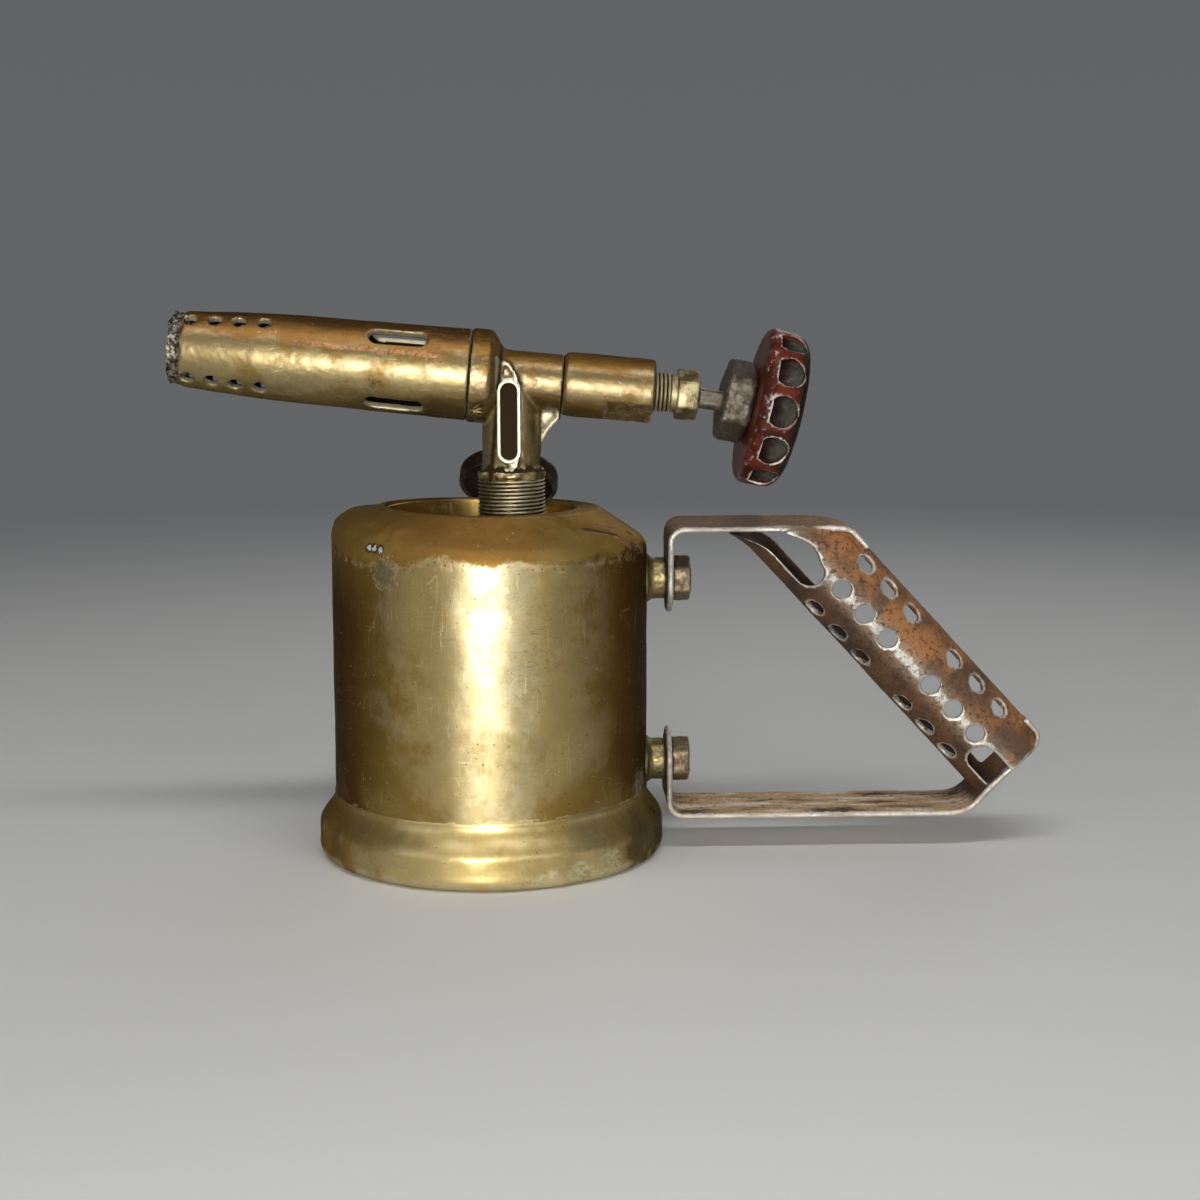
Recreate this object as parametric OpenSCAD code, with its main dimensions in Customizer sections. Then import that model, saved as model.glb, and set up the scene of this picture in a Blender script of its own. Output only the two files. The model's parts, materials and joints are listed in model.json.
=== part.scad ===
// Petrol blowlamp: brass tank on a flared foot, tilted burner with a needle valve, pressed steel handle.
// Millimetres, +Z up. The origin is the centre of the foot, on the surface that the lamp stands on.
// +X points to the handle, -X to the burner's mouth and +Y to the filler.

/* [Tank] */
// Outside diameter of the drawn tank wall
tank_d = 92; // [84:1:104]
// Thickness of the tank's sheet brass
tank_wall = 0.9; // [0.6:0.1:1.4]
// Height of the corner between the wall and the shoulder
shoulder_z = 92; // [82:1:110]
// Rise of the sloping shoulder from its corner to the rim
rim_rise = 9.2; // [7:0.2:12]
// Diameter at which the shoulder ends and the flat rim begins
rim_d = 64; // [62:1:70]
// Rounding of the shoulder's corner
shoulder_r = 6; // [3:0.5:8]
// Height of the tank wall's lower edge
wall_z = 8; // [5:0.5:9]
// Height of the tank bottom's upper face above the wall's lower edge
bottom_rise = 2.5; // [2:0.5:6]

/* [Priming dish] */
// Outside diameter of the dish
dish_d = 57; // [52:1:59]
// Depth of the dish below the rim
dish_depth = 9.2; // [7:0.2:12]
// Thickness of the dish's sheet brass
dish_wall = 0.8; // [0.6:0.1:1.2]
// Rounding of the dish's lower corner
dish_r = 2.5; // [1.5:0.5:4]
// How far the dish lies off the tank's axis, towards the mouth
dish_shift = 2; // [0:0.5:2.5]

/* [Foot] */
// Outside diameter of the flared foot
foot_d = 102; // [98:1:118]
// Height of the seam between the foot and the wall
seam_z = 18.5; // [16:0.5:24]
// Height of the straight collar that laps the wall
collar_h = 2; // [1:0.5:4]
// Height at which the flare reaches its full width
flare_z = 7.5; // [5:0.5:10]
// Thickness of the foot's sheet brass
foot_wall = 1.1; // [0.8:0.1:1.5]
// Rounding of the foot's lower edge
foot_r = 3.5; // [2:0.5:4]
// Width of the flat ring that the lamp stands on
foot_ring = 2; // [1.5:0.5:4]

/* [Neck] */
// How far the neck lies off the tank's axis, towards the handle
neck_x = 6.5; // [3:0.5:8]
// Outside diameter of the neck thread
neck_thread_d = 19.6; // [18:0.2:22]
// Pitch of the neck thread
neck_pitch = 1.1; // [1:0.1:2]
// Height of thread that shows above the rim
neck_exposed = 10.8; // [6:0.2:16]
// Outside diameter of the bush in the dish
bush_d = 24; // [23:0.5:28]
// Height of the bush above the dish's floor
bush_rise = 3.5; // [2.5:0.5:6]
// Depth of the bush below the dish's floor
bush_drop = 6; // [4:0.5:9]
// Diameter of the bush's flange
bush_flange_d = 29; // [27:0.5:32]
// Thickness of the bush's flange
bush_flange_h = 1.4; // [1:0.2:2.4]
// Gap between the feed tube's foot and the tank's bottom
feed_clear = 3; // [2:0.5:6]
// Length of the feed tube inside the neck
feed_seat = 8; // [5:0.5:12]
// Thickness of the feed tube's wall
feed_wall = 0.6; // [0.4:0.1:1]
// Height of the wick above the neck thread
wick_rise = 10; // [5:1:14]

/* [Burner] */
// Height of the burner's axis above the rim, at the stem
burner_rise = 37.1; // [33:0.5:50]
// Upward tilt of the mouth
burner_tilt = 5.25; // [0:0.25:12]
// Diameter of the stem
stem_d = 16.8; // [15.5:0.2:18]
// Diameter of the fuel passage in the stem
feed_bore_d = 9; // [8:0.5:10]
// Diameter of the tee's arm
arm_d = 16.4; // [15.6:0.2:18]
// Length of the arm from the stem's axis
arm_len = 14.9; // [13:0.2:20]
// Diameter of the vapour passage along the burner's axis
vapour_bore_d = 8; // [7:0.5:9]
// Diameter of the flange that carries the flame tube
flange_d = 27; // [26:0.5:30]
// Thickness of the flange
flange_len = 6.4; // [4:0.2:9]
// Distance from the stem's axis to the flange
flange_back = 5.5; // [4:0.5:9]
// Length of the sloping back of the flange
flange_slope = 4; // [2:0.5:5]
// Length of the spigot inside the flame tube
tube_spigot_len = 7; // [4:0.5:10]
// Thickness of the spigot's ring
tube_spigot_wall = 1.6; // [1:0.2:3]
// Length of the web's legs between the stem and the arm
web_leg = 14; // [7:0.5:15]
// Thickness of the web
web_t = 4; // [2.5:0.5:6]
// Width of the raised plaque
plaque_w = 6.8; // [5:0.2:9]
// Height of the raised plaque
plaque_h = 24; // [16:1:25]
// Height of the plaque above the stem's face
plaque_t = 1; // [0.6:0.1:1.6]
// Width of the plaque's border
plaque_border = 0.8; // [0.5:0.1:1.4]
// Depth of the plaque's field
plaque_sink = 0.6; // [0.3:0.1:0.9]

/* [Flame tube] */
// Length of the flame tube
tube_len = 85.7; // [75:1:110]
// Outside diameter at the flange
tube_rear_d = 26.3; // [25:0.1:28]
// Outside diameter where the nose begins
tube_mid_d = 24.8; // [23:0.1:26]
// Outside diameter at the mouth
mouth_d = 21; // [18:0.5:23]
// Length of the tapering nose
nose_len = 28.6; // [24:0.5:40]
// Thickness of the tube's wall
tube_wall = 2.2; // [1.6:0.1:2.6]
// Thickness of the bead round the mouth
lip_t = 0.5; // [0.2:0.1:1]
// Length of the bead round the mouth
lip_len = 2.2; // [1:0.2:4]
// Diameter of the air holes
hole_d = 3.8; // [2.5:0.1:4.5]
// Spacing of the air holes along the tube
hole_pitch = 6.9; // [6:0.1:8]
// Distance of the first hole from the mouth
hole_first = 6.4; // [5:0.2:8]
// Air holes in each row
hole_count = 4; // [2:1:4]
// Length of the air slots
slot_len = 16.8; // [10:0.2:20]
// Width of the air slots
slot_w = 5; // [3:0.2:7]
// Distance of the slots from the flange
slot_back = 12.3; // [10:0.5:18]

/* [Jet and needle] */
// Diameter of the jet's threaded shank
jet_thread_d = 8; // [7:0.5:9]
// Length of the jet's shank
jet_shank = 7; // [5:0.5:9]
// Jet hexagon across flats
jet_hex = 10; // [9:0.5:12]
// Thickness of the jet's hexagon
jet_hex_len = 4; // [3:0.5:6]
// Length of the jet's conical nose
jet_nose = 4; // [2:0.5:6]
// Diameter of the jet's opening
jet_bore_d = 0.8; // [0.5:0.1:1.5]
// Diameter of the needle
needle_d = 3.6; // [3:0.1:4]
// Length of the needle's point
needle_point = 2.2; // [1.6:0.2:3]
// Depth of the needle's seat inside the jet's shank
jet_seat_depth = 4; // [3:0.5:5]
// Length of the needle inside the spindle
needle_grip = 4.5; // [3:0.5:5]

/* [Valve] */
// Diameter of the valve housing
housing_d = 18.5; // [17.5:0.5:22]
// Length of the valve housing
housing_len = 26.5; // [25:0.5:34]
// Rounding-off of the housing's ends
housing_chamfer = 0.8; // [0.3:0.1:1.5]
// Flats under the housing, across flats
housing_hex = 18.4; // [17:0.2:21]
// Length of the flats under the housing
housing_hex_len = 13; // [8:0.5:18]
// Diameter of the arm's spigot inside the housing
arm_spigot_d = 12; // [11:0.5:14]
// Length of the arm's spigot inside the housing
arm_spigot_len = 6; // [4:0.5:7]
// Diameter of the gland's thread
gland_thread_d = 12; // [11:0.2:14]
// Pitch of the gland's thread
gland_pitch = 1.2; // [0.8:0.1:1.6]
// Length of the gland between the housing and its hexagon
gland_exposed = 6.6; // [4:0.2:9]
// Length of the gland's thread inside the housing
gland_depth = 5.5; // [4:0.5:7]
// Length of the plain neck under the gland's hexagon
gland_neck = 1.6; // [1:0.2:3]
// Gland hexagon across flats
gland_hex = 13; // [12.5:0.5:17]
// Thickness of the gland's hexagon
gland_hex_len = 6.4; // [4:0.2:9]
// Length of the soft packing
packing_len = 4; // [3:0.5:5]
// Thickness of the packing's washer
packing_washer_t = 1.2; // [0.8:0.1:2]
// Diameter of the spindle
spindle_d = 6; // [5.4:0.1:7]
// Width of the spindle's square
spindle_square = 5; // [4.6:0.1:5.3]
// Outside diameter of the spindle's thread
spindle_thread_d = 8; // [7.6:0.2:9]
// Pitch of the spindle's thread
spindle_pitch = 1; // [0.8:0.1:1.5]
// Length of the spindle's thread
spindle_thread_len = 5.5; // [5:0.5:6]
// Gap between the arm's spigot and the spindle's thread
spindle_gap = 0.6; // [0.4:0.1:1]
// Length of round spindle that shows before its square
spindle_round = 0.6; // [0.4:0.1:2]
// Length of spindle that shows between the gland and the wheel
spindle_exposed = 6.6; // [4:0.2:10]

/* [Handwheel] */
// Diameter of the handwheel
wheel_d = 46; // [40:1:56]
// Thickness of the wheel's rim
wheel_t = 13; // [11:0.5:17]
// Rounding of the rim on the outer side
wheel_outer_r = 6; // [4:0.5:6.5]
// Rounding of the rim on the hub side
wheel_inner_r = 3; // [2:0.5:4]
// Diameter of the hollow in the wheel's outer face
wheel_hollow_d = 26; // [20:1:28]
// Depth of the hollow in the wheel's outer face
wheel_hollow = 4; // [3:0.5:5]
// Widening of the hollow towards its mouth
wheel_hollow_draft = 1; // [0:0.2:2]
// Grip pockets round the rim
pocket_count = 12; // [6:1:12]
// Width of a pocket
pocket_d = 8.5; // [5:0.5:8.5]
// Depth of a pocket
pocket_depth = 2.8; // [1:0.2:3]
// Distance from a pocket's middle to its straight side
pocket_flat = 3.2; // [2:0.1:4]
// Hub hexagon across flats
hub_hex = 22; // [18:0.5:26]
// Thickness of the hub's hexagon
hub_len = 9; // [6:0.5:12]
// Diameter of the hub inside the wheel
hub_d = 15; // [12:0.5:17]
// Diameter of the washer under the nut
wheel_washer_d = 18; // [16:0.5:19]
// Thickness of the washer under the nut
wheel_washer_t = 1; // [0.6:0.1:1.6]
// Wheel nut across flats
wheel_nut_hex = 8; // [7:0.5:10]
// Thickness of the wheel nut
wheel_nut_t = 3.5; // [2.5:0.5:5]
// Diameter of the spindle's end thread
wheel_thread_d = 4.6; // [4:0.1:5]

/* [Filler] */
// Direction of the filler round the tank
filler_azimuth = 83; // [70:1:110]
// Distance of the filler from the tank's axis
filler_r = 38.4; // [38:0.2:40]
// Outside diameter of the filler bush
filler_bush_d = 15.6; // [15:0.2:16.6]
// Height of the filler bush above the shoulder
filler_rise = 6; // [4.5:0.5:9]
// Depth of the filler bush below the shoulder
filler_drop = 4; // [3:0.5:5]
// Outside diameter of the filler thread
filler_thread_d = 12; // [11:0.2:12.8]
// Pitch of the filler thread
filler_pitch = 1.5; // [1:0.1:2]
// Length of the filler thread
filler_thread_len = 8; // [6:0.5:9]
// Thickness of the sealing washer
filler_washer_t = 1.5; // [1:0.1:2.5]
// Diameter of the filler cap
cap_d = 31; // [26:0.5:34]
// Height of the cap's straight side
cap_side = 4.5; // [3:0.5:7]
// Height of the cap's dome
cap_dome = 5; // [3:0.5:7]
// Chamfer of the cap's lower edge
cap_edge = 0.8; // [0.4:0.1:1.5]

/* [Handle] */
// Thickness of the handle's sheet steel
strap_t = 1.6; // [1.2:0.1:2]
// Width of the handle's strap
strap_w = 20; // [16:0.5:22]
// Height of the lower bolt above the foot's seam
bolt_above_seam = 7; // [6.5:0.5:10]
// Depth of the upper bolt below the shoulder's corner
bolt_below_shoulder = 12; // [11:0.5:18]
// Diameter of the bosses on the wall
boss_d = 12.2; // [11:0.2:13.5]
// Length of the bosses
boss_len = 5.6; // [5:0.2:9]
// Width of the solder fillet round a boss
boss_fillet = 1.6; // [0.8:0.2:2.4]
// Bolt heads across flats
bolt_hex = 12; // [10:0.5:13]
// Thickness of the bolt heads
bolt_head = 5.4; // [4:0.2:7]
// Diameter of the bolts' shanks
bolt_d = 6; // [5:0.5:7]
// Length of the shank inside a boss
bolt_depth = 4; // [3:0.2:4.6]
// Height of the top strap above the upper bolt
strap_rise = 16.6; // [14:0.2:20]
// Depth of the bottom strap below the lower bolt
strap_drop = 14.5; // [13:0.2:16]
// Bend radius at the lugs
lug_bend = 4; // [2.5:0.5:6]
// Bend radius where the straps meet the grip
grip_bend = 9; // [6:0.5:11]
// Distance from the tank's axis to the grip's upper corner
grip_x = 104.3; // [100:0.5:120]
// Slope of the grip
grip_slope = 46.9; // [40:0.5:52]
// Length of the grip along its back
grip_len = 88; // [84:1:95]
// Outside diameter of the grip
grip_d = 25.6; // [22:0.2:28]
// Width of the grip's open side, as an angle
grip_open = 90; // [70:5:110]
// Middle of the grip's open side, round from the inner edge
grip_open_mid = 105; // [95:5:115]
// Diameter of the grip's holes
grip_hole_d = 5.5; // [4:0.1:7]
// Spacing of the grip's holes
grip_hole_pitch = 10; // [8:0.2:11]
// Gap between the two groups of holes, centre to centre
grip_group_gap = 18.9; // [14:0.2:22]
// Distance of the first hole from the grip's upper corner
grip_hole_first = 12; // [10:0.2:14]
// Radius of the notches at the grip's ends
notch_r = 3.9; // [3:0.1:4.5]
// Distance of the upper notch's round end below the grip's upper corner
notch_upper = 2.4; // [1:0.2:4]
// Distance of the lower notch's round end above the grip's foot
notch_lower = 9.6; // [8:0.2:12]
// Length of strap laid along the grip's back at each end
strap_lap = 9; // [7:0.5:12]
// Width of the tongue beside the notches
tongue_w = 3.7; // [2.5:0.1:5]

/* [Fits] */
// Gap between pieces that are soldered, screwed or pressed together
fit = 0.05; // [0.03:0.01:0.1]
// Radial gap of turning pieces
run_gap = 0.08; // [0.05:0.01:0.1]

/* [Hidden] */
$fn = 96;

brass = "darkgoldenrod";
dark_brass = "saddlebrown";
steel = "dimgray";
rust = "sienna";
bakelite = "maroon";
soft = "tan";

// Overshoot of a cut past the face that it opens
cut = 1;
// Steps in a rounded corner of an outline
corner_steps = 8;
// Steps in the foot's flare
flare_steps = 12;
// Depth of a thread as a share of its pitch
thread_ratio = 0.6;
// Directions of the tube's round air holes, round from its underside, drilled straight through in pairs
hole_rows = [38, 137, 218, 317];
// Directions of its air slots, cut straight through in pairs
slot_rows = [46, 144, 226, 324];
// Directions of the grip's rows of holes, round from its inner edge
grip_rows = [-134, -82, -29];
// Holes in each group of a row
group_count = 3;
// Hexagon corner radius for one unit across flats
hex_corner = 0.5 / cos(30);

tank_r = tank_d / 2;
rim_r = rim_d / 2;
rim_z = shoulder_z + rim_rise;
shoulder_slope = atan2(rim_rise, tank_r - rim_r);
shoulder_turn = 90 - shoulder_slope;
shoulder_centre = [tank_r - shoulder_r, shoulder_z - shoulder_r * tan(shoulder_turn / 2)];
bottom_z = wall_z + bottom_rise;
dish_floor_z = rim_z - dish_depth;
foot_radius = foot_d / 2;

neck_bottom_z = dish_floor_z - bush_drop;
neck_top_z = rim_z + neck_exposed;
neck_len = neck_top_z - neck_bottom_z;
burner_z = rim_z + burner_rise;
feed_bottom_z = bottom_z + feed_clear;
wick_top_z = neck_top_z + wick_rise;

tube_rear = -flange_back - flange_len;
nose_start = tube_rear - tube_len + nose_len;
mouth = tube_rear - tube_len;
housing_end = arm_len + housing_len;
gland_hex_start = housing_end + gland_exposed;
gland_end = gland_hex_start + gland_hex_len;
hub_start = gland_end + spindle_exposed;
wheel_start = hub_start + hub_len;
wheel_end = wheel_start + wheel_t;
wheel_seat = wheel_end - wheel_hollow;
nut_start = wheel_seat + fit + wheel_washer_t + fit;
nut_end = nut_start + wheel_nut_t;

gland_inner = housing_end - gland_depth;
packing_start = gland_inner - fit - packing_len;
washer_start = packing_start - fit - packing_washer_t;
chamber_start = washer_start - fit;
spindle_inner = arm_len + arm_spigot_len + spindle_gap;
square_start = gland_end + spindle_round;

jet_seat = tube_rear + jet_shank - jet_seat_depth;
needle_tip = jet_seat - needle_point + fit;

filler_z = shoulder_z + (tank_r - filler_r) * tan(shoulder_slope);
filler_washer_start = filler_rise + fit;
cap_start = filler_washer_start + filler_washer_t + fit;

upper_bolt_z = shoulder_z - bolt_below_shoulder;
lower_bolt_z = seam_z + bolt_above_seam;
lug_x = tank_r + boss_len + fit;
strap_top = upper_bolt_z + strap_rise;
strap_bottom = lower_bolt_z - strap_drop;
grip_dir = [cos(grip_slope), -sin(grip_slope)];
grip_out = [sin(grip_slope), cos(grip_slope)];
grip_r = grip_d / 2;
grip_top = [grip_x, strap_top];
grip_foot = grip_top + grip_dir * grip_len;
grip_axis = grip_top - grip_out * grip_r;
lid_len = (grip_foot[1] - strap_bottom) / grip_out[1];
lid_foot = grip_foot - grip_out * lid_len;

// A point list round part of a circle
function arc(centre, r, from, to) = [
    for (i = [0:corner_steps])
        let (a = from + (to - from) * i / corner_steps)
        centre + r * [cos(a), sin(a)]
];

// The zigzag side of a threaded rod, from z upwards
function thread_side(crest_r, z, pitch, turns) = [
    for (i = [0:turns - 1])
        each [[crest_r - thread_ratio * pitch, z + i * pitch], [crest_r, z + (i + 0.5) * pitch]]
];

// Outline of a threaded rod, closed on its axis
function thread_rod(crest_r, z, pitch, length) =
    let (turns = max(1, floor(length / pitch)), core_r = crest_r - thread_ratio * pitch)
    concat(
        [[0, z]],
        thread_side(crest_r, z, pitch, turns),
        [[core_r, z + turns * pitch], [core_r, z + length], [0, z + length]]
    );

// Outside radius of the flame tube at a place along the burner
function tube_r(u) =
    u > nose_start
        ? (tube_mid_d + (tube_rear_d - tube_mid_d) * (u - nose_start) / (tube_rear - nose_start)) / 2
        : (mouth_d + (tube_mid_d - mouth_d) * (u - mouth) / nose_len) / 2;

// Outside radius of the foot's flare, a half wave from the collar to the full width
function flare_r(k) =
    let (collar_r = tank_r + fit + foot_wall)
    collar_r + (foot_radius - collar_r) * (1 - cos(180 * k)) / 2;

function unit(v) = v / norm(v);
function left_of(v) = [-v[1], v[0]];
function turned(v, a) = [v[0] * cos(a) - v[1] * sin(a), v[0] * sin(a) + v[1] * cos(a)];

// Points and side directions along one rounded bend of a strap
function bend(a, b, c, r) =
    let (
        d1 = unit(b - a),
        d2 = unit(c - b),
        angle = atan2(cross(d1, d2), d1 * d2),
        side = sign(angle),
        centre = b - d1 * r * tan(abs(angle) / 2) + left_of(d1) * r * side
    )
    [
        for (i = [0:corner_steps])
            let (n = turned(left_of(d1), angle * i / corner_steps))
            [centre - n * r * side, n]
    ];

// Points and side directions along a bent strap
function strap_line(points, radii) =
    let (last = len(points) - 1)
    concat(
        [[points[0], left_of(unit(points[1] - points[0]))]],
        [for (i = [1:last - 1]) each bend(points[i - 1], points[i], points[i + 1], radii[i - 1])],
        [[points[last], left_of(unit(points[last] - points[last - 1]))]]
    );

// Side outline of a bent strap, whose points run along its middle
module strap_outline(points, radii) {
    line = strap_line(points, radii);
    polygon(concat(
        [for (s = line) s[0] + s[1] * strap_t / 2],
        [for (i = [len(line) - 1:-1:0]) line[i][0] - line[i][1] * strap_t / 2]
    ));
}

// Turns a side outline in X and Z into a plate of a width along Y
module plate(width) {
    rotate([90, 0, 0])
        linear_extrude(width, center = true)
            children();
}

// Local Z runs along the burner from the stem to the handwheel, and local X points down
module along_burner() {
    translate([neck_x, 0, burner_z])
        rotate([0, 90 + burner_tilt, 0])
            children();
}

// Local Z points out of the shoulder at the filler
module at_filler() {
    rotate([0, 0, filler_azimuth])
        translate([filler_r, 0, filler_z])
            rotate([0, shoulder_slope, 0])
                children();
}

// Local Z runs down the grip, local X points to its inner edge and local Y to the filler's side
module along_grip() {
    translate([grip_axis[0], 0, grip_axis[1]])
        rotate([0, 90 + grip_slope, 0])
            children();
}

// Local Z points away from the tank at each bolt
module at_bolts() {
    for (z = [lower_bolt_z, upper_bolt_z])
        translate([0, 0, z])
            rotate([0, 90, 0])
                children();
}

module revolve(points) {
    rotate_extrude()
        polygon(points);
}

module ring(outer_d, inner_d, start, length) {
    difference() {
        translate([0, 0, start])
            cylinder(d = outer_d, h = length);
        translate([0, 0, start - cut])
            cylinder(d = inner_d, h = length + 2 * cut);
    }
}

module hexagon(across, start, length) {
    translate([0, 0, start])
        cylinder(r = across * hex_corner, h = length, $fn = 6);
}

module tank_shell() {
    inner_r = shoulder_r - tank_wall;
    inner_rim = rim_r - tank_wall * tan(shoulder_slope / 2);
    color(brass)
        difference() {
            revolve(concat(
                [[tank_r, wall_z]],
                arc(shoulder_centre, shoulder_r, 0, shoulder_turn),
                [[rim_r, rim_z], [0, rim_z], [0, rim_z - tank_wall], [inner_rim, rim_z - tank_wall]],
                arc(shoulder_centre, inner_r, shoulder_turn, 0),
                [[tank_r - tank_wall, wall_z]]
            ));
            translate([-dish_shift, 0, rim_z - tank_wall - cut])
                cylinder(d = dish_d + 2 * fit, h = tank_wall + 2 * cut);
            at_filler()
                translate([0, 0, -filler_drop])
                    cylinder(d = filler_bush_d + 2 * fit, h = filler_drop + filler_rise);
        }
}

module priming_dish() {
    radius = dish_d / 2;
    under_z = dish_floor_z - dish_wall;
    centre = [radius - dish_r, under_z + dish_r];
    color(brass)
        difference() {
            translate([-dish_shift, 0, 0])
                revolve(concat(
                    [[0, under_z]],
                    arc(centre, dish_r, -90, 0),
                    [[radius, rim_z], [radius - dish_wall, rim_z]],
                    arc(centre, dish_r - dish_wall, 0, -90),
                    [[0, dish_floor_z]]
                ));
            translate([neck_x, 0, under_z - cut])
                cylinder(d = bush_d + 2 * fit, h = dish_wall + 2 * cut);
        }
}

module tank_bottom() {
    radius = tank_r - tank_wall - fit;
    color(brass)
        revolve([
            [0, bottom_z],
            [radius, bottom_z],
            [radius, wall_z],
            [radius - tank_wall, wall_z],
            [radius - tank_wall, bottom_z - tank_wall],
            [0, bottom_z - tank_wall]
        ]);
}

module base_skirt() {
    flare_top = seam_z - collar_h;
    edge = [foot_radius - foot_r, foot_r];
    ring_r = edge[0] - foot_ring;
    flare = [
        for (i = [0:flare_steps])
            let (k = i / flare_steps)
            [flare_r(k), flare_top + (flare_z - flare_top) * k]
    ];
    color(brass)
        revolve(concat(
            [[flare_r(0), seam_z]],
            flare,
            arc(edge, foot_r, 0, -90),
            [[ring_r, 0], [ring_r, foot_wall]],
            arc(edge, foot_r - foot_wall, -90, 0),
            [for (i = [flare_steps:-1:0]) flare[i] - [foot_wall, 0]],
            [[flare_r(0) - foot_wall, seam_z]]
        ));
}

module neck_bush() {
    bore_d = neck_thread_d + 2 * fit;
    color(brass)
        translate([neck_x, 0, dish_floor_z]) {
            ring(bush_d, bore_d, -bush_drop, bush_drop + bush_rise);
            ring(bush_flange_d, bore_d, fit, bush_flange_h);
        }
}

module feed_tube() {
    outer_d = feed_bore_d - 2 * fit;
    color(brass)
        translate([neck_x, 0, 0])
            ring(outer_d, outer_d - 2 * feed_wall, feed_bottom_z, neck_bottom_z + feed_seat - feed_bottom_z);
}

module wick() {
    wick_d = feed_bore_d - 2 * feed_wall - 4 * fit;
    color(soft)
        translate([neck_x, 0, bottom_z + fit])
            cylinder(d = wick_d, h = wick_top_z - bottom_z - fit);
}

// Outline of the plaque in width and height, with round ends
module plaque_outline(inset) {
    half = plaque_w / 2 - inset;
    translate([0, plaque_w / 2])
        circle(half);
    translate([-half, plaque_w / 2])
        square([2 * half, plaque_h - plaque_w]);
    translate([0, plaque_h - plaque_w / 2])
        circle(half);
}

module plaque() {
    face = stem_d / 2 + plaque_t;
    translate([neck_x, 0, burner_z - plaque_h])
        rotate([90, 0, 0])
            difference() {
                linear_extrude(face)
                    plaque_outline(0);
                translate([0, 0, face - plaque_sink])
                    linear_extrude(plaque_sink + cut)
                        plaque_outline(plaque_border);
            }
}

// Curved web in the corner between the stem and the arm, let into both and no longer than the arm
module web() {
    corner_x = neck_x + stem_d / 2;
    corner_z = burner_z - arm_d / 2 - stem_d / 2 * tan(burner_tilt);
    let_in = arm_d / 4;
    difference() {
        plate(web_t)
            translate([corner_x, corner_z])
                difference() {
                    translate([-let_in, -web_leg])
                        square([let_in + web_leg, web_leg + let_in]);
                    translate([web_leg, -web_leg])
                        circle(web_leg);
                }
        along_burner()
            translate([0, 0, arm_len])
                cylinder(d = 2 * arm_d, h = 2 * web_leg);
    }
}

module burner_body() {
    spigot_end = tube_rear - tube_spigot_len;
    spigot_r = tube_r(spigot_end) - tube_wall - fit;
    color(brass)
        difference() {
            union() {
                translate([neck_x, 0, 0])
                    revolve(thread_rod(neck_thread_d / 2, neck_bottom_z, neck_pitch, neck_len));
                translate([neck_x, 0, neck_top_z])
                    cylinder(d = stem_d, h = burner_z - neck_top_z);
                along_burner()
                    revolve([
                        [0, spigot_end],
                        [spigot_r, spigot_end],
                        [spigot_r, tube_rear],
                        [flange_d / 2, tube_rear],
                        [flange_d / 2, -flange_back],
                        [arm_d / 2, -flange_back + flange_slope],
                        [arm_d / 2, arm_len],
                        [arm_spigot_d / 2, arm_len],
                        [arm_spigot_d / 2, arm_len + arm_spigot_len],
                        [0, arm_len + arm_spigot_len]
                    ]);
                plaque();
                web();
            }
            translate([neck_x, 0, neck_bottom_z - cut])
                cylinder(d = feed_bore_d, h = burner_z - neck_bottom_z + cut);
            along_burner() {
                translate([0, 0, spigot_end - cut])
                    cylinder(r = spigot_r - tube_spigot_wall, h = tube_spigot_len + cut);
                translate([0, 0, tube_rear - cut])
                    cylinder(d = jet_thread_d + 2 * fit, h = jet_shank + fit + cut);
                translate([0, 0, tube_rear])
                    cylinder(d = vapour_bore_d, h = arm_len + arm_spigot_len - tube_rear + cut);
            }
        }
}

// Air openings round the tube, between the upright and the level
module air_rows(rows) {
    for (a = rows)
        rotate([0, 0, a])
            rotate([0, 90, 0])
                children();
}

module flame_tube() {
    lip_r = mouth_d / 2 + lip_t;
    slot_end = tube_rear - slot_back;
    round_end = slot_w / 2;
    color(brass)
        along_burner()
            difference() {
                revolve([
                    [tube_r(tube_rear), tube_rear - fit],
                    [tube_r(nose_start), nose_start],
                    [tube_r(mouth + lip_len), mouth + lip_len],
                    [lip_r, mouth + lip_len / 2],
                    [lip_r, mouth],
                    [mouth_d / 2 - tube_wall, mouth],
                    [tube_r(nose_start) - tube_wall, nose_start],
                    [tube_r(tube_rear) - tube_wall, tube_rear - fit]
                ]);
                for (i = [0:hole_count - 1])
                    translate([0, 0, mouth + hole_first + i * hole_pitch])
                        air_rows(hole_rows)
                            cylinder(d = hole_d, h = tube_rear_d);
                for (end = [slot_end - round_end, slot_end - slot_len + round_end])
                    translate([0, 0, end])
                        air_rows(slot_rows)
                            cylinder(d = slot_w, h = tube_rear_d);
                translate([0, 0, slot_end - slot_len / 2])
                    air_rows(slot_rows)
                        translate([0, 0, tube_rear_d / 2])
                            cube([slot_len - slot_w, slot_w, tube_rear_d], center = true);
            }
}

module jet_nipple() {
    hex_start = tube_rear - fit - jet_hex_len;
    nose_end = hex_start - jet_nose;
    shank_end = tube_rear + jet_shank;
    entry_r = needle_d / 2 + run_gap;
    color(brass)
        along_burner()
            difference() {
                union() {
                    hexagon(jet_hex, hex_start, jet_hex_len);
                    translate([0, 0, tube_rear - 2 * fit])
                        cylinder(d = jet_thread_d, h = jet_shank + 2 * fit);
                    translate([0, 0, nose_end])
                        cylinder(d1 = jet_thread_d / 2, d2 = jet_thread_d, h = jet_nose);
                }
                revolve([
                    [0, nose_end - cut],
                    [jet_bore_d / 2, nose_end - cut],
                    [jet_bore_d / 2, jet_seat - needle_point * (entry_r - jet_bore_d / 2) / entry_r],
                    [entry_r, jet_seat],
                    [entry_r, shank_end + cut],
                    [0, shank_end + cut]
                ]);
            }
}

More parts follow.
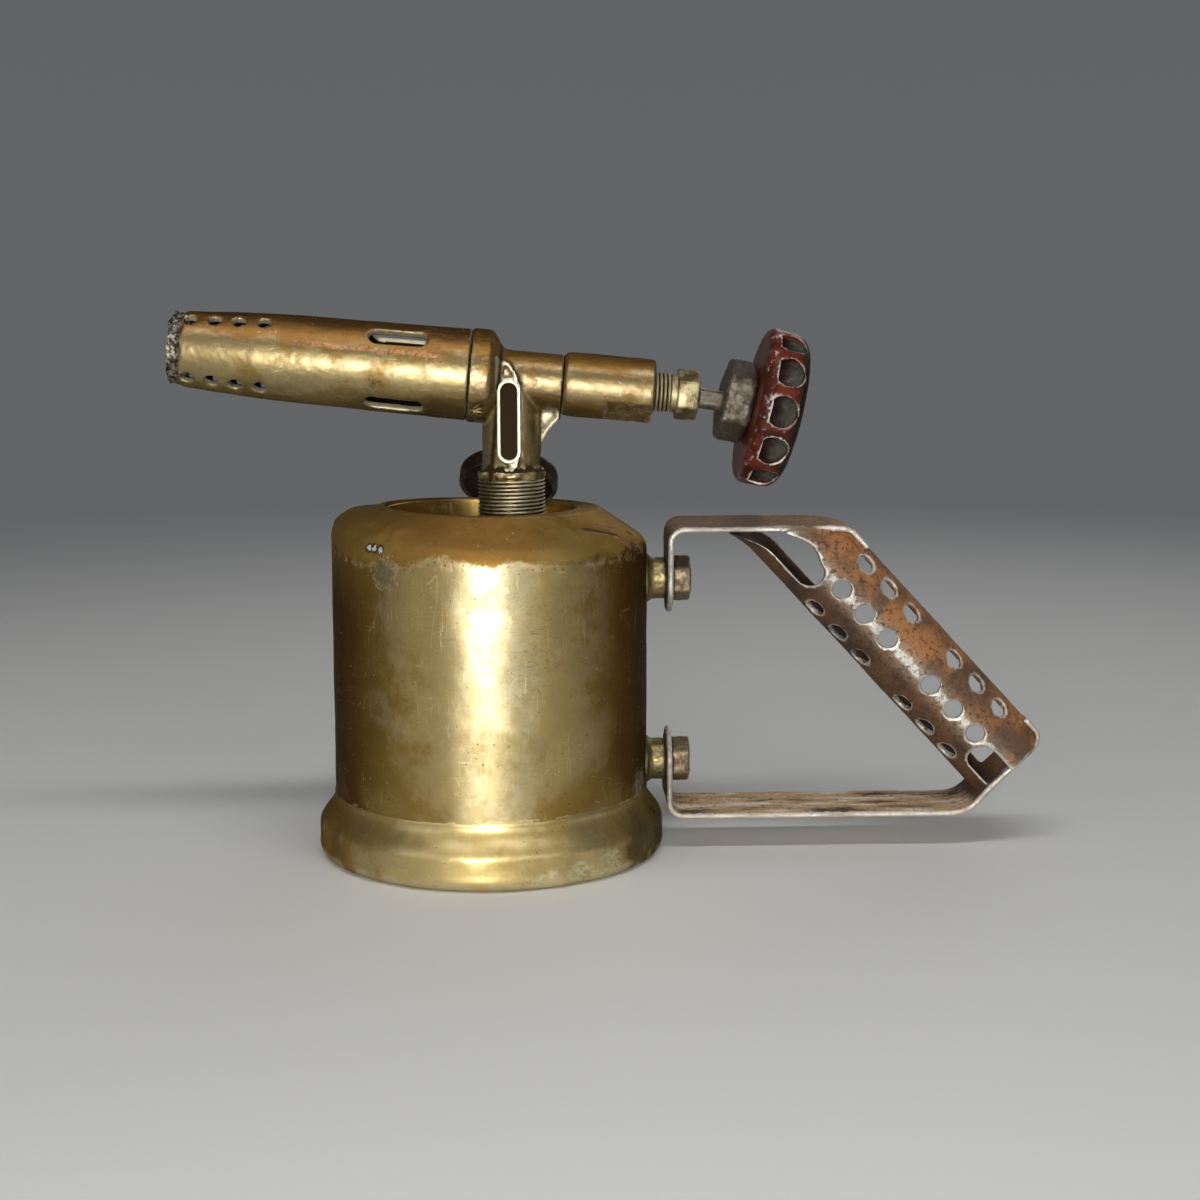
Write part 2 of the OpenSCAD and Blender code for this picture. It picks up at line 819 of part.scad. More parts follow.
module needle() {
    radius = needle_d / 2;
    needle_end = spindle_inner + needle_grip;
    color(steel)
        along_burner()
            revolve([
                [0, needle_tip + needle_point * jet_bore_d / needle_d],
                [jet_bore_d / 2, needle_tip + needle_point * jet_bore_d / needle_d],
                [radius, needle_tip + needle_point],
                [radius, needle_end],
                [0, needle_end]
            ]);
}

module valve_housing() {
    radius = housing_d / 2;
    hex_start = housing_end - housing_chamfer - housing_hex_len;
    color(brass)
        along_burner()
            difference() {
                union() {
                    revolve([
                        [0, arm_len + fit],
                        [radius - housing_chamfer, arm_len + fit],
                        [radius, arm_len + fit + housing_chamfer],
                        [radius, housing_end - housing_chamfer],
                        [radius - housing_chamfer, housing_end],
                        [0, housing_end]
                    ]);
                    intersection() {
                        hexagon(housing_hex, hex_start, housing_hex_len);
                        translate([housing_d / 4, -housing_d, hex_start])
                            cube([housing_d, 2 * housing_d, housing_hex_len]);
                    }
                }
                translate([0, 0, arm_len])
                    cylinder(d = arm_spigot_d + 2 * fit, h = arm_spigot_len + fit);
                translate([0, 0, arm_len])
                    cylinder(d = spindle_thread_d + 2 * run_gap, h = housing_len);
                translate([0, 0, chamber_start])
                    cylinder(d = gland_thread_d + 2 * fit, h = housing_end - chamber_start + cut);
            }
}

module packing_washer() {
    color(brass)
        along_burner()
            ring(gland_thread_d, spindle_d + 2 * run_gap, washer_start, packing_washer_t);
}

module gland_packing() {
    color(soft)
        along_burner()
            ring(gland_thread_d, spindle_d + 2 * run_gap, packing_start, packing_len);
}

module gland_screw() {
    thread_len = gland_hex_start - gland_neck - gland_inner;
    core_r = gland_thread_d / 2 - thread_ratio * gland_pitch;
    color(brass)
        along_burner()
            difference() {
                union() {
                    revolve(thread_rod(gland_thread_d / 2, gland_inner, gland_pitch, thread_len));
                    translate([0, 0, gland_inner])
                        cylinder(r = core_r, h = thread_len + gland_neck);
                    hexagon(gland_hex, gland_hex_start, gland_hex_len);
                }
                translate([0, 0, gland_inner - cut])
                    cylinder(d = spindle_d + 2 * run_gap, h = gland_end - gland_inner + 2 * cut);
            }
}

// Squared length of the spindle, with its corners left round
module spindle_square_bar(start, length, gap) {
    side = spindle_square + 2 * gap;
    intersection() {
        translate([0, 0, start])
            cylinder(d = spindle_d + 2 * gap, h = length);
        translate([-side / 2, -side / 2, start])
            cube([side, side, length]);
    }
}

module valve_spindle() {
    thread = thread_rod(spindle_thread_d / 2, spindle_inner, spindle_pitch, spindle_thread_len);
    color(steel)
        along_burner()
            difference() {
                union() {
                    revolve(thread);
                    translate([0, 0, spindle_inner])
                        cylinder(d = spindle_d, h = square_start - spindle_inner);
                    spindle_square_bar(square_start - fit, wheel_seat - square_start, 0);
                    translate([0, 0, square_start])
                        cylinder(d = wheel_thread_d, h = nut_end + fit - square_start);
                }
                translate([0, 0, spindle_inner - cut])
                    cylinder(d = needle_d + 2 * run_gap, h = needle_grip + fit + cut);
            }
}

module handwheel_hub() {
    color(steel)
        along_burner()
            difference() {
                union() {
                    hexagon(hub_hex, hub_start, hub_len - fit);
                    translate([0, 0, hub_start])
                        cylinder(d = hub_d, h = wheel_seat - hub_start);
                }
                spindle_square_bar(hub_start - cut, wheel_seat - hub_start + 2 * cut, fit);
            }
}

// D-shaped pockets round the rim, straight on the hub's side
module grip_pockets() {
    middle = (wheel_start + wheel_end) / 2;
    for (i = [0:pocket_count - 1])
        rotate([0, 0, i * 360 / pocket_count])
            translate([wheel_d / 2 - pocket_depth, 0, middle])
                rotate([0, 90, 0])
                    intersection() {
                        cylinder(d = pocket_d, h = pocket_depth + cut);
                        translate([-pocket_d, -pocket_d, 0])
                            cube([pocket_d + pocket_flat, 2 * pocket_d, pocket_depth + cut]);
                    }
}

module handwheel() {
    radius = wheel_d / 2;
    hollow_r = wheel_hollow_d / 2;
    bore_r = hub_d / 2 + fit;
    color(bakelite)
        along_burner()
            difference() {
                revolve(concat(
                    [[bore_r, wheel_start]],
                    arc([radius - wheel_inner_r, wheel_start + wheel_inner_r], wheel_inner_r, -90, 0),
                    arc([radius - wheel_outer_r, wheel_end - wheel_outer_r], wheel_outer_r, 0, 90),
                    [[hollow_r + wheel_hollow_draft, wheel_end], [hollow_r, wheel_seat], [bore_r, wheel_seat]]
                ));
                grip_pockets();
            }
}

module handwheel_washer() {
    color(steel)
        along_burner()
            ring(wheel_washer_d, wheel_thread_d + 2 * fit, wheel_seat + fit, wheel_washer_t);
}

module handwheel_nut() {
    color(steel)
        along_burner()
            difference() {
                hexagon(wheel_nut_hex, nut_start, wheel_nut_t);
                translate([0, 0, nut_start - cut])
                    cylinder(d = wheel_thread_d + 2 * fit, h = wheel_nut_t + 2 * cut);
            }
}

module filler_bush() {
    color(brass)
        at_filler()
            ring(filler_bush_d, filler_thread_d + 2 * run_gap, -filler_drop, filler_drop + filler_rise);
}

module filler_washer() {
    color(soft)
        at_filler()
            ring(filler_bush_d, filler_thread_d + 2 * run_gap, filler_washer_start, filler_washer_t);
}

module filler_cap() {
    radius = cap_d / 2;
    side_end = cap_start + cap_side;
    color(dark_brass)
        at_filler() {
            revolve(concat(
                [[0, cap_start], [radius - cap_edge, cap_start], [radius, cap_start + cap_edge]],
                [
                    for (i = [0:corner_steps])
                        let (a = 90 * i / corner_steps)
                        [radius * cos(a), side_end + cap_dome * sin(a)]
                ]
            ));
            revolve(thread_rod(
                filler_thread_d / 2, cap_start - filler_thread_len, filler_pitch, filler_thread_len + cap_edge
            ));
        }
}

// Side outline that the grip's tube is trimmed to, a little past its back
module grip_limits() {
    spare = grip_r;
    polygon([
        [lug_x, strap_top - strap_t / 2],
        grip_top + [spare / grip_out[0], -strap_t / 2],
        grip_foot + grip_out * spare - grip_dir * strap_t / 2,
        lid_foot - grip_dir * strap_t / 2,
        [lug_x, strap_bottom + strap_t / 2]
    ]);
}

// Three rows of holes in two groups, seen from the side away from the filler
module grip_holes() {
    group_step = (group_count - 1) * grip_hole_pitch + grip_group_gap;
    places = [
        for (group = [0, 1], i = [0:group_count - 1])
            grip_hole_first + group * group_step + i * grip_hole_pitch
    ];
    for (row = grip_rows, place = places)
        translate([0, 0, place])
            rotate([0, 0, row])
                rotate([0, 90, 0])
                    cylinder(d = grip_hole_d, h = grip_d);
}

// Notches at the ends of the grip, beside the tongue at its inner edge
module grip_notches() {
    middle = grip_r - tongue_w - notch_r;
    lower = grip_len - notch_lower;
    for (place = [notch_upper, lower])
        translate([middle, -grip_d, place])
            rotate([-90, 0, 0])
                cylinder(r = notch_r, h = grip_d);
    rotate([90, 0, 0])
        linear_extrude(grip_d) {
            polygon([
                [middle + notch_r, notch_upper],
                [middle - notch_r, notch_upper],
                [-notch_r, -grip_bend],
                [-notch_r, -grip_len],
                [middle + notch_r, -grip_len]
            ]);
            polygon([
                [middle + notch_r, lower],
                [middle - notch_r, lower],
                [middle - notch_r, 2 * grip_len],
                [middle + notch_r, 2 * grip_len]
            ]);
        }
}

module grip_tube() {
    wedge = [for (k = [-0.5, 0, 0.5]) let (a = grip_open_mid + k * grip_open) 2 * grip_d * [cos(a), sin(a)]];
    intersection() {
        plate(2 * grip_d)
            grip_limits();
        along_grip()
            difference() {
                translate([0, 0, -grip_len])
                    ring(grip_d, grip_d - 2 * strap_t, 0, 3 * grip_len);
                translate([0, 0, -2 * grip_len])
                    linear_extrude(5 * grip_len)
                        polygon(concat([[0, 0]], wedge));
                grip_holes();
                grip_notches();
            }
    }
}

module handle() {
    mid_x = lug_x + strap_t / 2;
    top_z = strap_top - strap_t / 2;
    bottom_strap_z = strap_bottom + strap_t / 2;
    inset = grip_out * strap_t / 2;
    color(rust)
        difference() {
            union() {
                plate(strap_w)
                    strap_outline(
                        [
                            [mid_x, upper_bolt_z],
                            [mid_x, top_z],
                            grip_top - inset,
                            grip_top - inset + grip_dir * strap_lap
                        ],
                        [lug_bend, grip_bend]
                    );
                plate(strap_w)
                    strap_outline(
                        [
                            [mid_x, lower_bolt_z],
                            [mid_x, bottom_strap_z],
                            lid_foot + [0, strap_t / 2],
                            grip_foot - inset - grip_dir * strap_t / 2,
                            grip_foot - inset - grip_dir * strap_lap
                        ],
                        [lug_bend, grip_bend, lug_bend]
                    );
                at_bolts()
                    translate([0, 0, lug_x])
                        cylinder(d = strap_w, h = strap_t);
                grip_tube();
            }
            at_bolts()
                translate([0, 0, lug_x - cut])
                    cylinder(d = bolt_d + 2 * fit, h = strap_t + 2 * cut);
        }
}

module handle_bosses() {
    color(brass)
        difference() {
            at_bolts()
                revolve([
                    [0, tank_r / 2],
                    [boss_d / 2 + boss_fillet, tank_r / 2],
                    [boss_d / 2 + boss_fillet, tank_r],
                    [boss_d / 2, tank_r + boss_fillet],
                    [boss_d / 2, lug_x - fit],
                    [0, lug_x - fit]
                ]);
            cylinder(r = tank_r + fit, h = rim_z);
            cylinder(r = flare_r(0) + fit, h = seam_z + fit);
            at_bolts()
                translate([0, 0, lug_x - fit - bolt_depth - fit])
                    cylinder(d = bolt_d + 2 * fit, h = bolt_depth + fit + cut);
        }
}

module handle_bolts() {
    head_start = lug_x + strap_t + fit;
    color(steel)
        at_bolts() {
            hexagon(bolt_hex, head_start, bolt_head);
            translate([0, 0, lug_x - fit - bolt_depth])
                cylinder(d = bolt_d, h = bolt_depth + strap_t + 3 * fit);
        }
}

tank_shell();
priming_dish();
tank_bottom();
base_skirt();
neck_bush();
feed_tube();
wick();
burner_body();
flame_tube();
jet_nipple();
needle();
valve_housing();
packing_washer();
gland_packing();
gland_screw();
valve_spindle();
handwheel_hub();
handwheel();
handwheel_washer();
handwheel_nut();
filler_bush();
filler_washer();
filler_cap();
handle();
handle_bosses();
handle_bolts();
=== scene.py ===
"""Looks of an old petrol blowlamp: brass tank, burner, needle valve, filler and pierced steel handle.

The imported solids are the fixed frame. Each solid that shows is replaced by a piece modelled at the same
place, with the dents, threads, cast skin and worn edges that a plain solid lacks. The classes hold their
sizes in millimetres, in the frame's own axes unless a method says that it works along the burner.
"""

import functools
import itertools
import json
import logging
import math
from collections.abc import Callable, Iterable
from dataclasses import dataclass
from enum import Enum

import bpy
import numpy as np
from mathutils import Matrix, Vector


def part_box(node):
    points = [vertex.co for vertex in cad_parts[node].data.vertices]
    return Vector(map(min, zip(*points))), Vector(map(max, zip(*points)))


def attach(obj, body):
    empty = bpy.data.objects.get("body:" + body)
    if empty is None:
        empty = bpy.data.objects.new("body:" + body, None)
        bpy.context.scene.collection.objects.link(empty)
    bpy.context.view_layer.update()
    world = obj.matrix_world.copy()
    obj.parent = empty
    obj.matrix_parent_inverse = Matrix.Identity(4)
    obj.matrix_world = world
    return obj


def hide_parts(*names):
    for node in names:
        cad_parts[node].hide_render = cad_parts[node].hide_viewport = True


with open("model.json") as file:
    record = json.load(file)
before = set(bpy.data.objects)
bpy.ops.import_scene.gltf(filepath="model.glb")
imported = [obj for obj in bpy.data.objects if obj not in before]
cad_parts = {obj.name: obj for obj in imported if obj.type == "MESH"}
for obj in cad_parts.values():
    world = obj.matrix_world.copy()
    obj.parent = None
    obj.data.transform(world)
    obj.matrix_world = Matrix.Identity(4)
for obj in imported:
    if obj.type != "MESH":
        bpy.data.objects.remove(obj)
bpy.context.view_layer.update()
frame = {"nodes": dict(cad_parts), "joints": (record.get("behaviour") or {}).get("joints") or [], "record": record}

MM = 0.001
TURN = 2.0 * math.pi
LOG = logging.getLogger("blowlamp")

Colour = tuple[float, float, float]
Pair = tuple[float, float]
Outline = list[Pair]
Array = np.ndarray
Piece = bpy.types.Object
Socket = bpy.types.NodeSocket
Number = Socket | float
Material = bpy.types.Material
Rule = Callable[[Array], Array]
Test = Callable[[Vector], bool]
Feeds = dict[str | int, object]

EVEN = (1.0, 1.0, 1.0)
STILL = (0.0, 0.0, 0.0)
UPRIGHT = Matrix.Identity(4)
MOUTH = -97.6
RIM_RADIUS = 23.0
WHEEL_START = 70.0
WHEEL_THICK = 13.0

BODY_OF = {
    node: body
    for body, nodes in frame["record"]["behaviour"]["bodies"].items()
    for node in nodes
}


class Mark(Enum):
    """Point attributes that the pieces carry and the finishes read."""

    PROUD = "proud"
    BARE_AND_GLINT = "bare"
    GRIME_AND_SHADE = "grime_and_shade"


@dataclass(frozen=True)
class Blow:
    """One knock that the metal took: where it landed, which way it pushed and how far it reached."""

    at: Colour
    push: Colour
    reach: float


def box_mm(node: str) -> tuple[Vector, Vector]:
    """Lowest and highest corner of a solid, in millimetres."""
    low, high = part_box(node)
    return low / MM, high / MM


def along_joint(name: str) -> Matrix:
    """Local frame of a turning joint.

    Args:
        name: the joint's name in the record.

    Returns:
        A matrix whose Z runs along the joint's axis and whose X leans downwards, placed on the axis.
    """
    joint = next(j for j in frame["joints"] if j["name"] == name)
    along = Vector(joint["axis"]).normalized()
    across = Vector((0.0, 1.0, 0.0)).cross(along).normalized()
    turn = Matrix((across, along.cross(across), along)).transposed().to_4x4()
    return Matrix.Translation(Vector(joint["pos_m"])) @ turn


def moved(x: float = 0.0, y: float = 0.0, z: float = 0.0) -> Matrix:
    """A shift by millimetres."""
    return Matrix.Translation(Vector((x, y, z)) * MM)


def turned(degrees: float, axis: str) -> Matrix:
    """A turn round one of the axes."""
    return Matrix.Rotation(math.radians(degrees), 4, axis)


def line(start: Pair, stop: Pair, step: float) -> Outline:
    """Straight stretch of an outline.

    Args:
        start: its first point.
        stop: its last point.
        step: the most that its points may be apart.

    Returns:
        The points, with both ends.
    """
    count = max(1, math.ceil(math.dist(start, stop) / step))
    return [
        (start[0] + (stop[0] - start[0]) * i / count, start[1] + (stop[1] - start[1]) * i / count)
        for i in range(count + 1)
    ]


def arc(centre: Pair, radius: float, start: float, stop: float, steps: int) -> Outline:
    """Points round part of a circle, with both ends, where the angles are in degrees."""
    angles = [math.radians(start + (stop - start) * i / steps) for i in range(steps + 1)]
    return [(centre[0] + radius * math.cos(a), centre[1] + radius * math.sin(a)) for a in angles]


def radius_of(points: Array) -> Array:
    """Distance of each point from the Z axis."""
    return np.hypot(points[:, 0], points[:, 1])


def ramp(value: Array, length: float) -> Array:
    """Straight rise from 0 at 0 to 1 at a length."""
    return np.clip(value / length, 0.0, 1.0)


def peak(value: Array, width: float, height: float = 1.0) -> Array:
    """Straight fall on both sides of 0, from a height that is cut off at 1."""
    return np.clip(height - np.abs(value) / width, 0.0, 1.0)


class Bench:
    """Modelling steps that the pieces share. Their lengths are millimetres, and Blender's are metres."""

    MERGE = 1e-6
    THREAD_STEPS = 96

    @staticmethod
    def clear() -> None:
        """Leaves edit mode and deselects everything."""
        if bpy.context.object and bpy.context.object.mode != "OBJECT":
            Bench.close()
        bpy.ops.object.select_all(action="DESELECT")

    @staticmethod
    def hold(piece: Piece) -> None:
        """Makes a piece the only one that operators act on."""
        Bench.clear()
        piece.select_set(True)
        bpy.context.view_layer.objects.active = piece

    @staticmethod
    def open(piece: Piece, action: str = "SELECT") -> None:
        """Opens a piece in edit mode, with all of its points selected or none."""
        Bench.hold(piece)
        bpy.ops.object.mode_set(mode="EDIT")
        bpy.ops.mesh.select_mode(type="VERT")
        bpy.ops.mesh.select_all(action=action)

    @staticmethod
    def close() -> None:
        """Leaves edit mode."""
        bpy.ops.object.mode_set(mode="OBJECT")

    @staticmethod
    def pick(piece: Piece, test: Test) -> None:
        """Opens a piece in edit mode with some of its points selected.

        Args:
            piece: the piece.
            test: says of a point in millimetres whether it is selected.
        """
        Bench.open(piece, "DESELECT")
        Bench.close()
        for point in piece.data.vertices:
            point.select = test(point.co / MM)
        bpy.ops.object.mode_set(mode="EDIT")

    @staticmethod
    def shift(piece: Piece, test: Test, way: Colour) -> None:
        """Moves some of a piece's points.

        Args:
            piece: the piece.
            test: says of a point in millimetres whether it moves.
            way: how far it moves along X, Y and Z.
        """
        Bench.pick(piece, test)
        bpy.ops.transform.translate(value=Vector(way) * MM)
        Bench.close()

    @staticmethod
    def sink(piece: Piece, test: Test, border: float, slope: float, depth: float) -> None:
        """Sinks a face inside a border, and stays in edit mode.

        Args:
            piece: the piece.
            test: says of a point in millimetres whether it belongs to the face.
            border: width of the border.
            slope: width of the slope inside it.
            depth: how deep the face sinks.
        """
        Bench.pick(piece, test)
        bpy.ops.mesh.inset(thickness=border * MM)
        bpy.ops.mesh.inset(thickness=slope * MM, depth=-depth * MM)

    @staticmethod
    def wire(name: str, outline: Outline) -> Piece:
        """Draws an outline by extruding one point, and stays in edit mode.

        Args:
            name: the piece's name.
            outline: points of X and Z.

        Returns:
            The drawn wire.
        """
        Bench.clear()
        bpy.ops.mesh.primitive_plane_add(size=MM)
        piece = bpy.context.object
        piece.name = name
        bpy.ops.object.mode_set(mode="EDIT")
        bpy.ops.mesh.select_all(action="SELECT")
        bpy.ops.mesh.merge(type="CENTER")
        here = Vector((outline[0][0], 0.0, outline[0][1])) * MM
        bpy.ops.transform.translate(value=here)
        for x, z in outline[1:]:
            there = Vector((x, 0.0, z)) * MM
            bpy.ops.mesh.extrude_vertices_move(TRANSFORM_OT_translate={"value": there - here})
            here = there
        return piece

    @staticmethod
    def mend(piece: Piece) -> Piece:
        """Merges double points and turns the faces outwards.

        Args:
            piece: piece to mend.

        Returns:
            The piece.
        """
        Bench.open(piece)
        bpy.ops.mesh.remove_doubles(threshold=Bench.MERGE)
        bpy.ops.mesh.normals_make_consistent(inside=False)
        Bench.close()
        return piece

    @staticmethod
    def lathe(name: str, outline: Outline, steps: int) -> Piece:
        """Turns an outline round the Z axis.

        Args:
            name: the piece's name.
            outline: points of radius and height. A closed one ends on its first point.
            steps: faces round the piece.

        Returns:
            The turned piece.
        """
        piece = Bench.wire(name, outline)
        bpy.ops.mesh.select_all(action="SELECT")
        bpy.ops.mesh.spin(steps=steps, angle=TURN, center=(0, 0, 0), axis=(0, 0, 1))
        return Bench.mend(piece)

    @staticmethod
    def plate(name: str, outline: Outline, front: float, back: float) -> Piece:
        """Fills an outline and extrudes it along Y.

        Args:
            name: the piece's name.
            outline: points of X and Z.
            front: place of the front face.
            back: place of the back face.

        Returns:
            The plate.
        """
        piece = Bench.wire(name, outline)
        bpy.ops.mesh.select_all(action="SELECT")
        bpy.ops.mesh.edge_face_add()
        bpy.ops.transform.translate(value=(0, front * MM, 0))
        bpy.ops.mesh.extrude_region_move(TRANSFORM_OT_translate={"value": (0, (back - front) * MM, 0)})
        return Bench.mend(piece)

    @staticmethod
    def bar(name: str, across: float, start: float, length: float, sides: int = 6) -> Piece:
        """Straight bar along Z with a corner on X.

        Args:
            name: the piece's name.
            across: distance across flats, or the diameter of a bar with many sides.
            start: height of the lower end.
            length: length of the bar.
            sides: number of sides.

        Returns:
            The bar.
        """
        Bench.clear()
        bpy.ops.mesh.primitive_cylinder_add(
            vertices=sides,
            radius=across / 2.0 / math.cos(math.pi / sides) * MM,
            depth=length * MM,
            location=(0, 0, (start + length / 2.0) * MM),
            rotation=(0, 0, math.pi / 2.0),
        )
        piece = bpy.context.object
        piece.name = name
        bpy.ops.object.transform_apply(location=True, rotation=True, scale=True)
        return piece

    @staticmethod
    def helix(name: str, crest: float, depth: float, pitch: float, start: float, turns: int) -> Piece:
        """Screw thread along Z, with flat crests.

        Args:
            name: the piece's name.
            crest: radius of the crests.
            depth: depth of the thread.
            pitch: rise of one turn.
            start: height of the lower end.
            turns: number of turns.

        Returns:
            The thread's surface.
        """
        flank_tarnish_and_shade = ((depth, 0.0), (depth * 0.12, 0.38), (0.0, 0.46))
        outline = [(crest - sunk, start + pitch * rise) for sunk, rise in flank_tarnish_and_shade]
        outline += [(crest - sunk, start + pitch * (1.0 - rise)) for sunk, rise in reversed(flank_tarnish_and_shade)]
        piece = Bench.wire(name, outline)
        Bench.modify(
            piece, "SCREW", angle=TURN, screw_offset=pitch * MM, iterations=turns,
            steps=Bench.THREAD_STEPS, render_steps=Bench.THREAD_STEPS, use_merge_vertices=True,
            merge_threshold=Bench.MERGE,
        )
        return Bench.mend(piece)

    @staticmethod
    def copy_solid(name: str, node: str) -> Piece:
        """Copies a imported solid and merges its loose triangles.

        Args:
            name: the copy's name.
            node: the solid's node.

        Returns:
            The copy.
        """
        piece = bpy.data.objects.new(name, frame["nodes"][node].data.copy())
        bpy.context.scene.collection.objects.link(piece)
        Bench.open(piece)
        bpy.ops.mesh.remove_doubles(threshold=Bench.MERGE)
        Bench.close()
        return piece

    @staticmethod
    def modify(piece: Piece, kind: str, **settings: object) -> Piece:
        """Gives a piece a modifier and applies it.

        Args:
            piece: the piece.
            kind: the modifier's type.
            **settings: its properties.

        Returns:
            The piece.
        """
        Bench.hold(piece)
        modifier = piece.modifiers.new(kind.lower(), kind)
        for key, value in settings.items():
            setattr(modifier, key, value)
        bpy.ops.object.modifier_apply(modifier=modifier.name)
        return piece

    @staticmethod
    def place(piece: Piece, matrix: Matrix) -> Piece:
        """Moves a piece and keeps the place in its mesh.

        Args:
            piece: piece to move.
            matrix: the move.

        Returns:
            The piece.
        """
        Bench.hold(piece)
        piece.matrix_world = matrix @ piece.matrix_world
        bpy.ops.object.transform_apply(location=True, rotation=True, scale=True)
        return piece

    @staticmethod
    def copies(piece: Piece, places: Iterable[Matrix]) -> Piece:
        """Copies a piece to several places and joins the copies.

        Args:
            piece: the piece, which is removed.
            places: a matrix for each copy, which gets its own mesh.

        Returns:
            The joined copies, under the piece's name.
        """
        made = []
        for matrix in places:
            other = piece.copy()
            other.data = piece.data.copy()
            bpy.context.scene.collection.objects.link(other)
            made.append(Bench.place(other, matrix))
        name = piece.name
        bpy.data.objects.remove(piece)
        joined = Bench.join(made)
        joined.name = name
        return joined

    @staticmethod
    def join(pieces: list[Piece]) -> Piece:
        """Joins pieces into the first one.

        Args:
            pieces: pieces to join.

        Returns:
            The first piece.
        """
        Bench.hold(pieces[0])
        for piece in pieces:
            piece.select_set(True)
        bpy.ops.object.join()
        return bpy.context.object

    @staticmethod
    def cut(piece: Piece, cutter: Piece) -> None:
        """Cuts one piece out of another and removes the cutter."""
        Bench.modify(piece, "BOOLEAN", operation="DIFFERENCE", solver="EXACT", object=cutter)
        bpy.data.objects.remove(cutter)

    @staticmethod
    def bevel(piece: Piece, width: float, segments: int = 3, angle: float = 30.0) -> Piece:
        """Rounds sharp edges.

        Args:
            piece: the piece.
            width: width of the rounding.
            segments: faces across it.
            angle: angle in degrees above which an edge is sharp.

        Returns:
            The piece.
        """
        limit = math.radians(angle)
        return Bench.modify(
            piece, "BEVEL", width=width * MM, segments=segments, limit_method="ANGLE", angle_limit=limit
        )

    @staticmethod
    def skin(piece: Piece, voxel: float, relax: int) -> Piece:
        """Fuses what overlaps into one even skin.

        Args:
            piece: the piece, which may hold several overlapping forms.
            voxel: size of the skin's faces.
            relax: rounds of smoothing, which soften the edges as casting and wear do.

        Returns:
            The piece.
        """
        Bench.modify(piece, "REMESH", mode="VOXEL", voxel_size=voxel * MM)
        return Bench.modify(piece, "SMOOTH", factor=0.5, iterations=relax)

    @staticmethod
    def roughen(
        piece: Piece, size: float, depth: float, share: Rule | None = None, level: float = 0.5
    ) -> None:
        """Moves the surface in and out by cloudy noise.

        Args:
            piece: the piece.
            size: size of the lumps.
            depth: height from the deepest hollow to the highest lump.
            share: says of points in millimetres how much of the depth they take, or None for all of it.
            level: share of the depth that goes inwards.
        """
        clouds = bpy.data.textures.new(f"{piece.name}_{size}", "CLOUDS")
        clouds.noise_scale = size * MM
        clouds.noise_depth = 2
        Bench.modify(
            piece, "DISPLACE", texture=clouds, texture_coords="LOCAL", strength=depth * MM,
            mid_level=level, vertex_group=Bench.group(piece, share) if share else "",
        )
        piece.vertex_groups.clear()

    @staticmethod
    def press(piece: Piece, depth: float, share: Rule, way: str = "NORMAL") -> None:
        """Moves the surface out by a depth, or in where it is negative.

        Args:
            piece: the piece.
            depth: how far the surface moves.
            share: says of points in millimetres how much of the depth they take.
            way: the direction, along the normal or along an axis.
        """
        group = Bench.group(piece, share)
        Bench.modify(
            piece, "DISPLACE", direction=way, strength=depth * MM, mid_level=0.0, vertex_group=group
        )
        piece.vertex_groups.clear()

    @staticmethod
    def group(piece: Piece, share: Rule) -> str:
        """Makes a vertex group by a rule.

        Args:
            piece: the piece.
            share: rule on points in millimetres.

        Returns:
            The group's name.
        """
        group = piece.vertex_groups.new(name="share")
        for index, weight in enumerate(share(Bench.points(piece))):
            if weight > 0.0:
                group.add([index], float(weight), "REPLACE")
        return group.name

    @staticmethod
    def knock(piece: Piece, blow: Blow) -> None:
        """Pushes the point nearest to a blow, and what lies within its reach with a soft fall-off.

        Args:
            piece: piece to dent.
            blow: the blow.
        """
        target = Vector(blow.at)
        nearest = min(piece.data.vertices, key=lambda point: (point.co / MM - target).length_squared)
        spot = nearest.co / MM
        Bench.pick(piece, lambda point: (point - spot).length_squared < Bench.MERGE)
        bpy.ops.transform.translate(
            value=Vector(blow.push) * MM,
            use_proportional_edit=True,
            proportional_edit_falloff="SMOOTH",
            proportional_size=blow.reach * MM,
        )
        Bench.close()

    @staticmethod
    def points(piece: Piece) -> Array:
        """A piece's points as rows of millimetres."""
        flat = np.empty(len(piece.data.vertices) * 3, np.float32)
        piece.data.vertices.foreach_get("co", flat)
        return flat.reshape(-1, 3).astype(float) / MM

    @staticmethod
    def paint(piece: Piece, mark: Mark, rule: Rule) -> None:
        """Stores a share from 0 to 1 on each point, by a rule on points in millimetres."""
        Bench.store(piece, mark, np.clip(rule(Bench.points(piece)), 0.0, 1.0))

    @staticmethod
    def fill(piece: Piece, mark: Mark, share: float) -> None:
        """Stores the same share on each point."""
        Bench.store(piece, mark, np.full(len(piece.data.vertices), share))

    @staticmethod
    def store(piece: Piece, mark: Mark, values: Array) -> None:
        """Writes one number per point into an attribute of the mesh.

        Args:
            piece: the piece.
            mark: the attribute.
            values: a number per point.
        """
        attribute = piece.data.attributes.get(mark.value)
        if attribute is None:
            attribute = piece.data.attributes.new(mark.value, "FLOAT", "POINT")
        attribute.data.foreach_set("value", values.astype(np.float32))

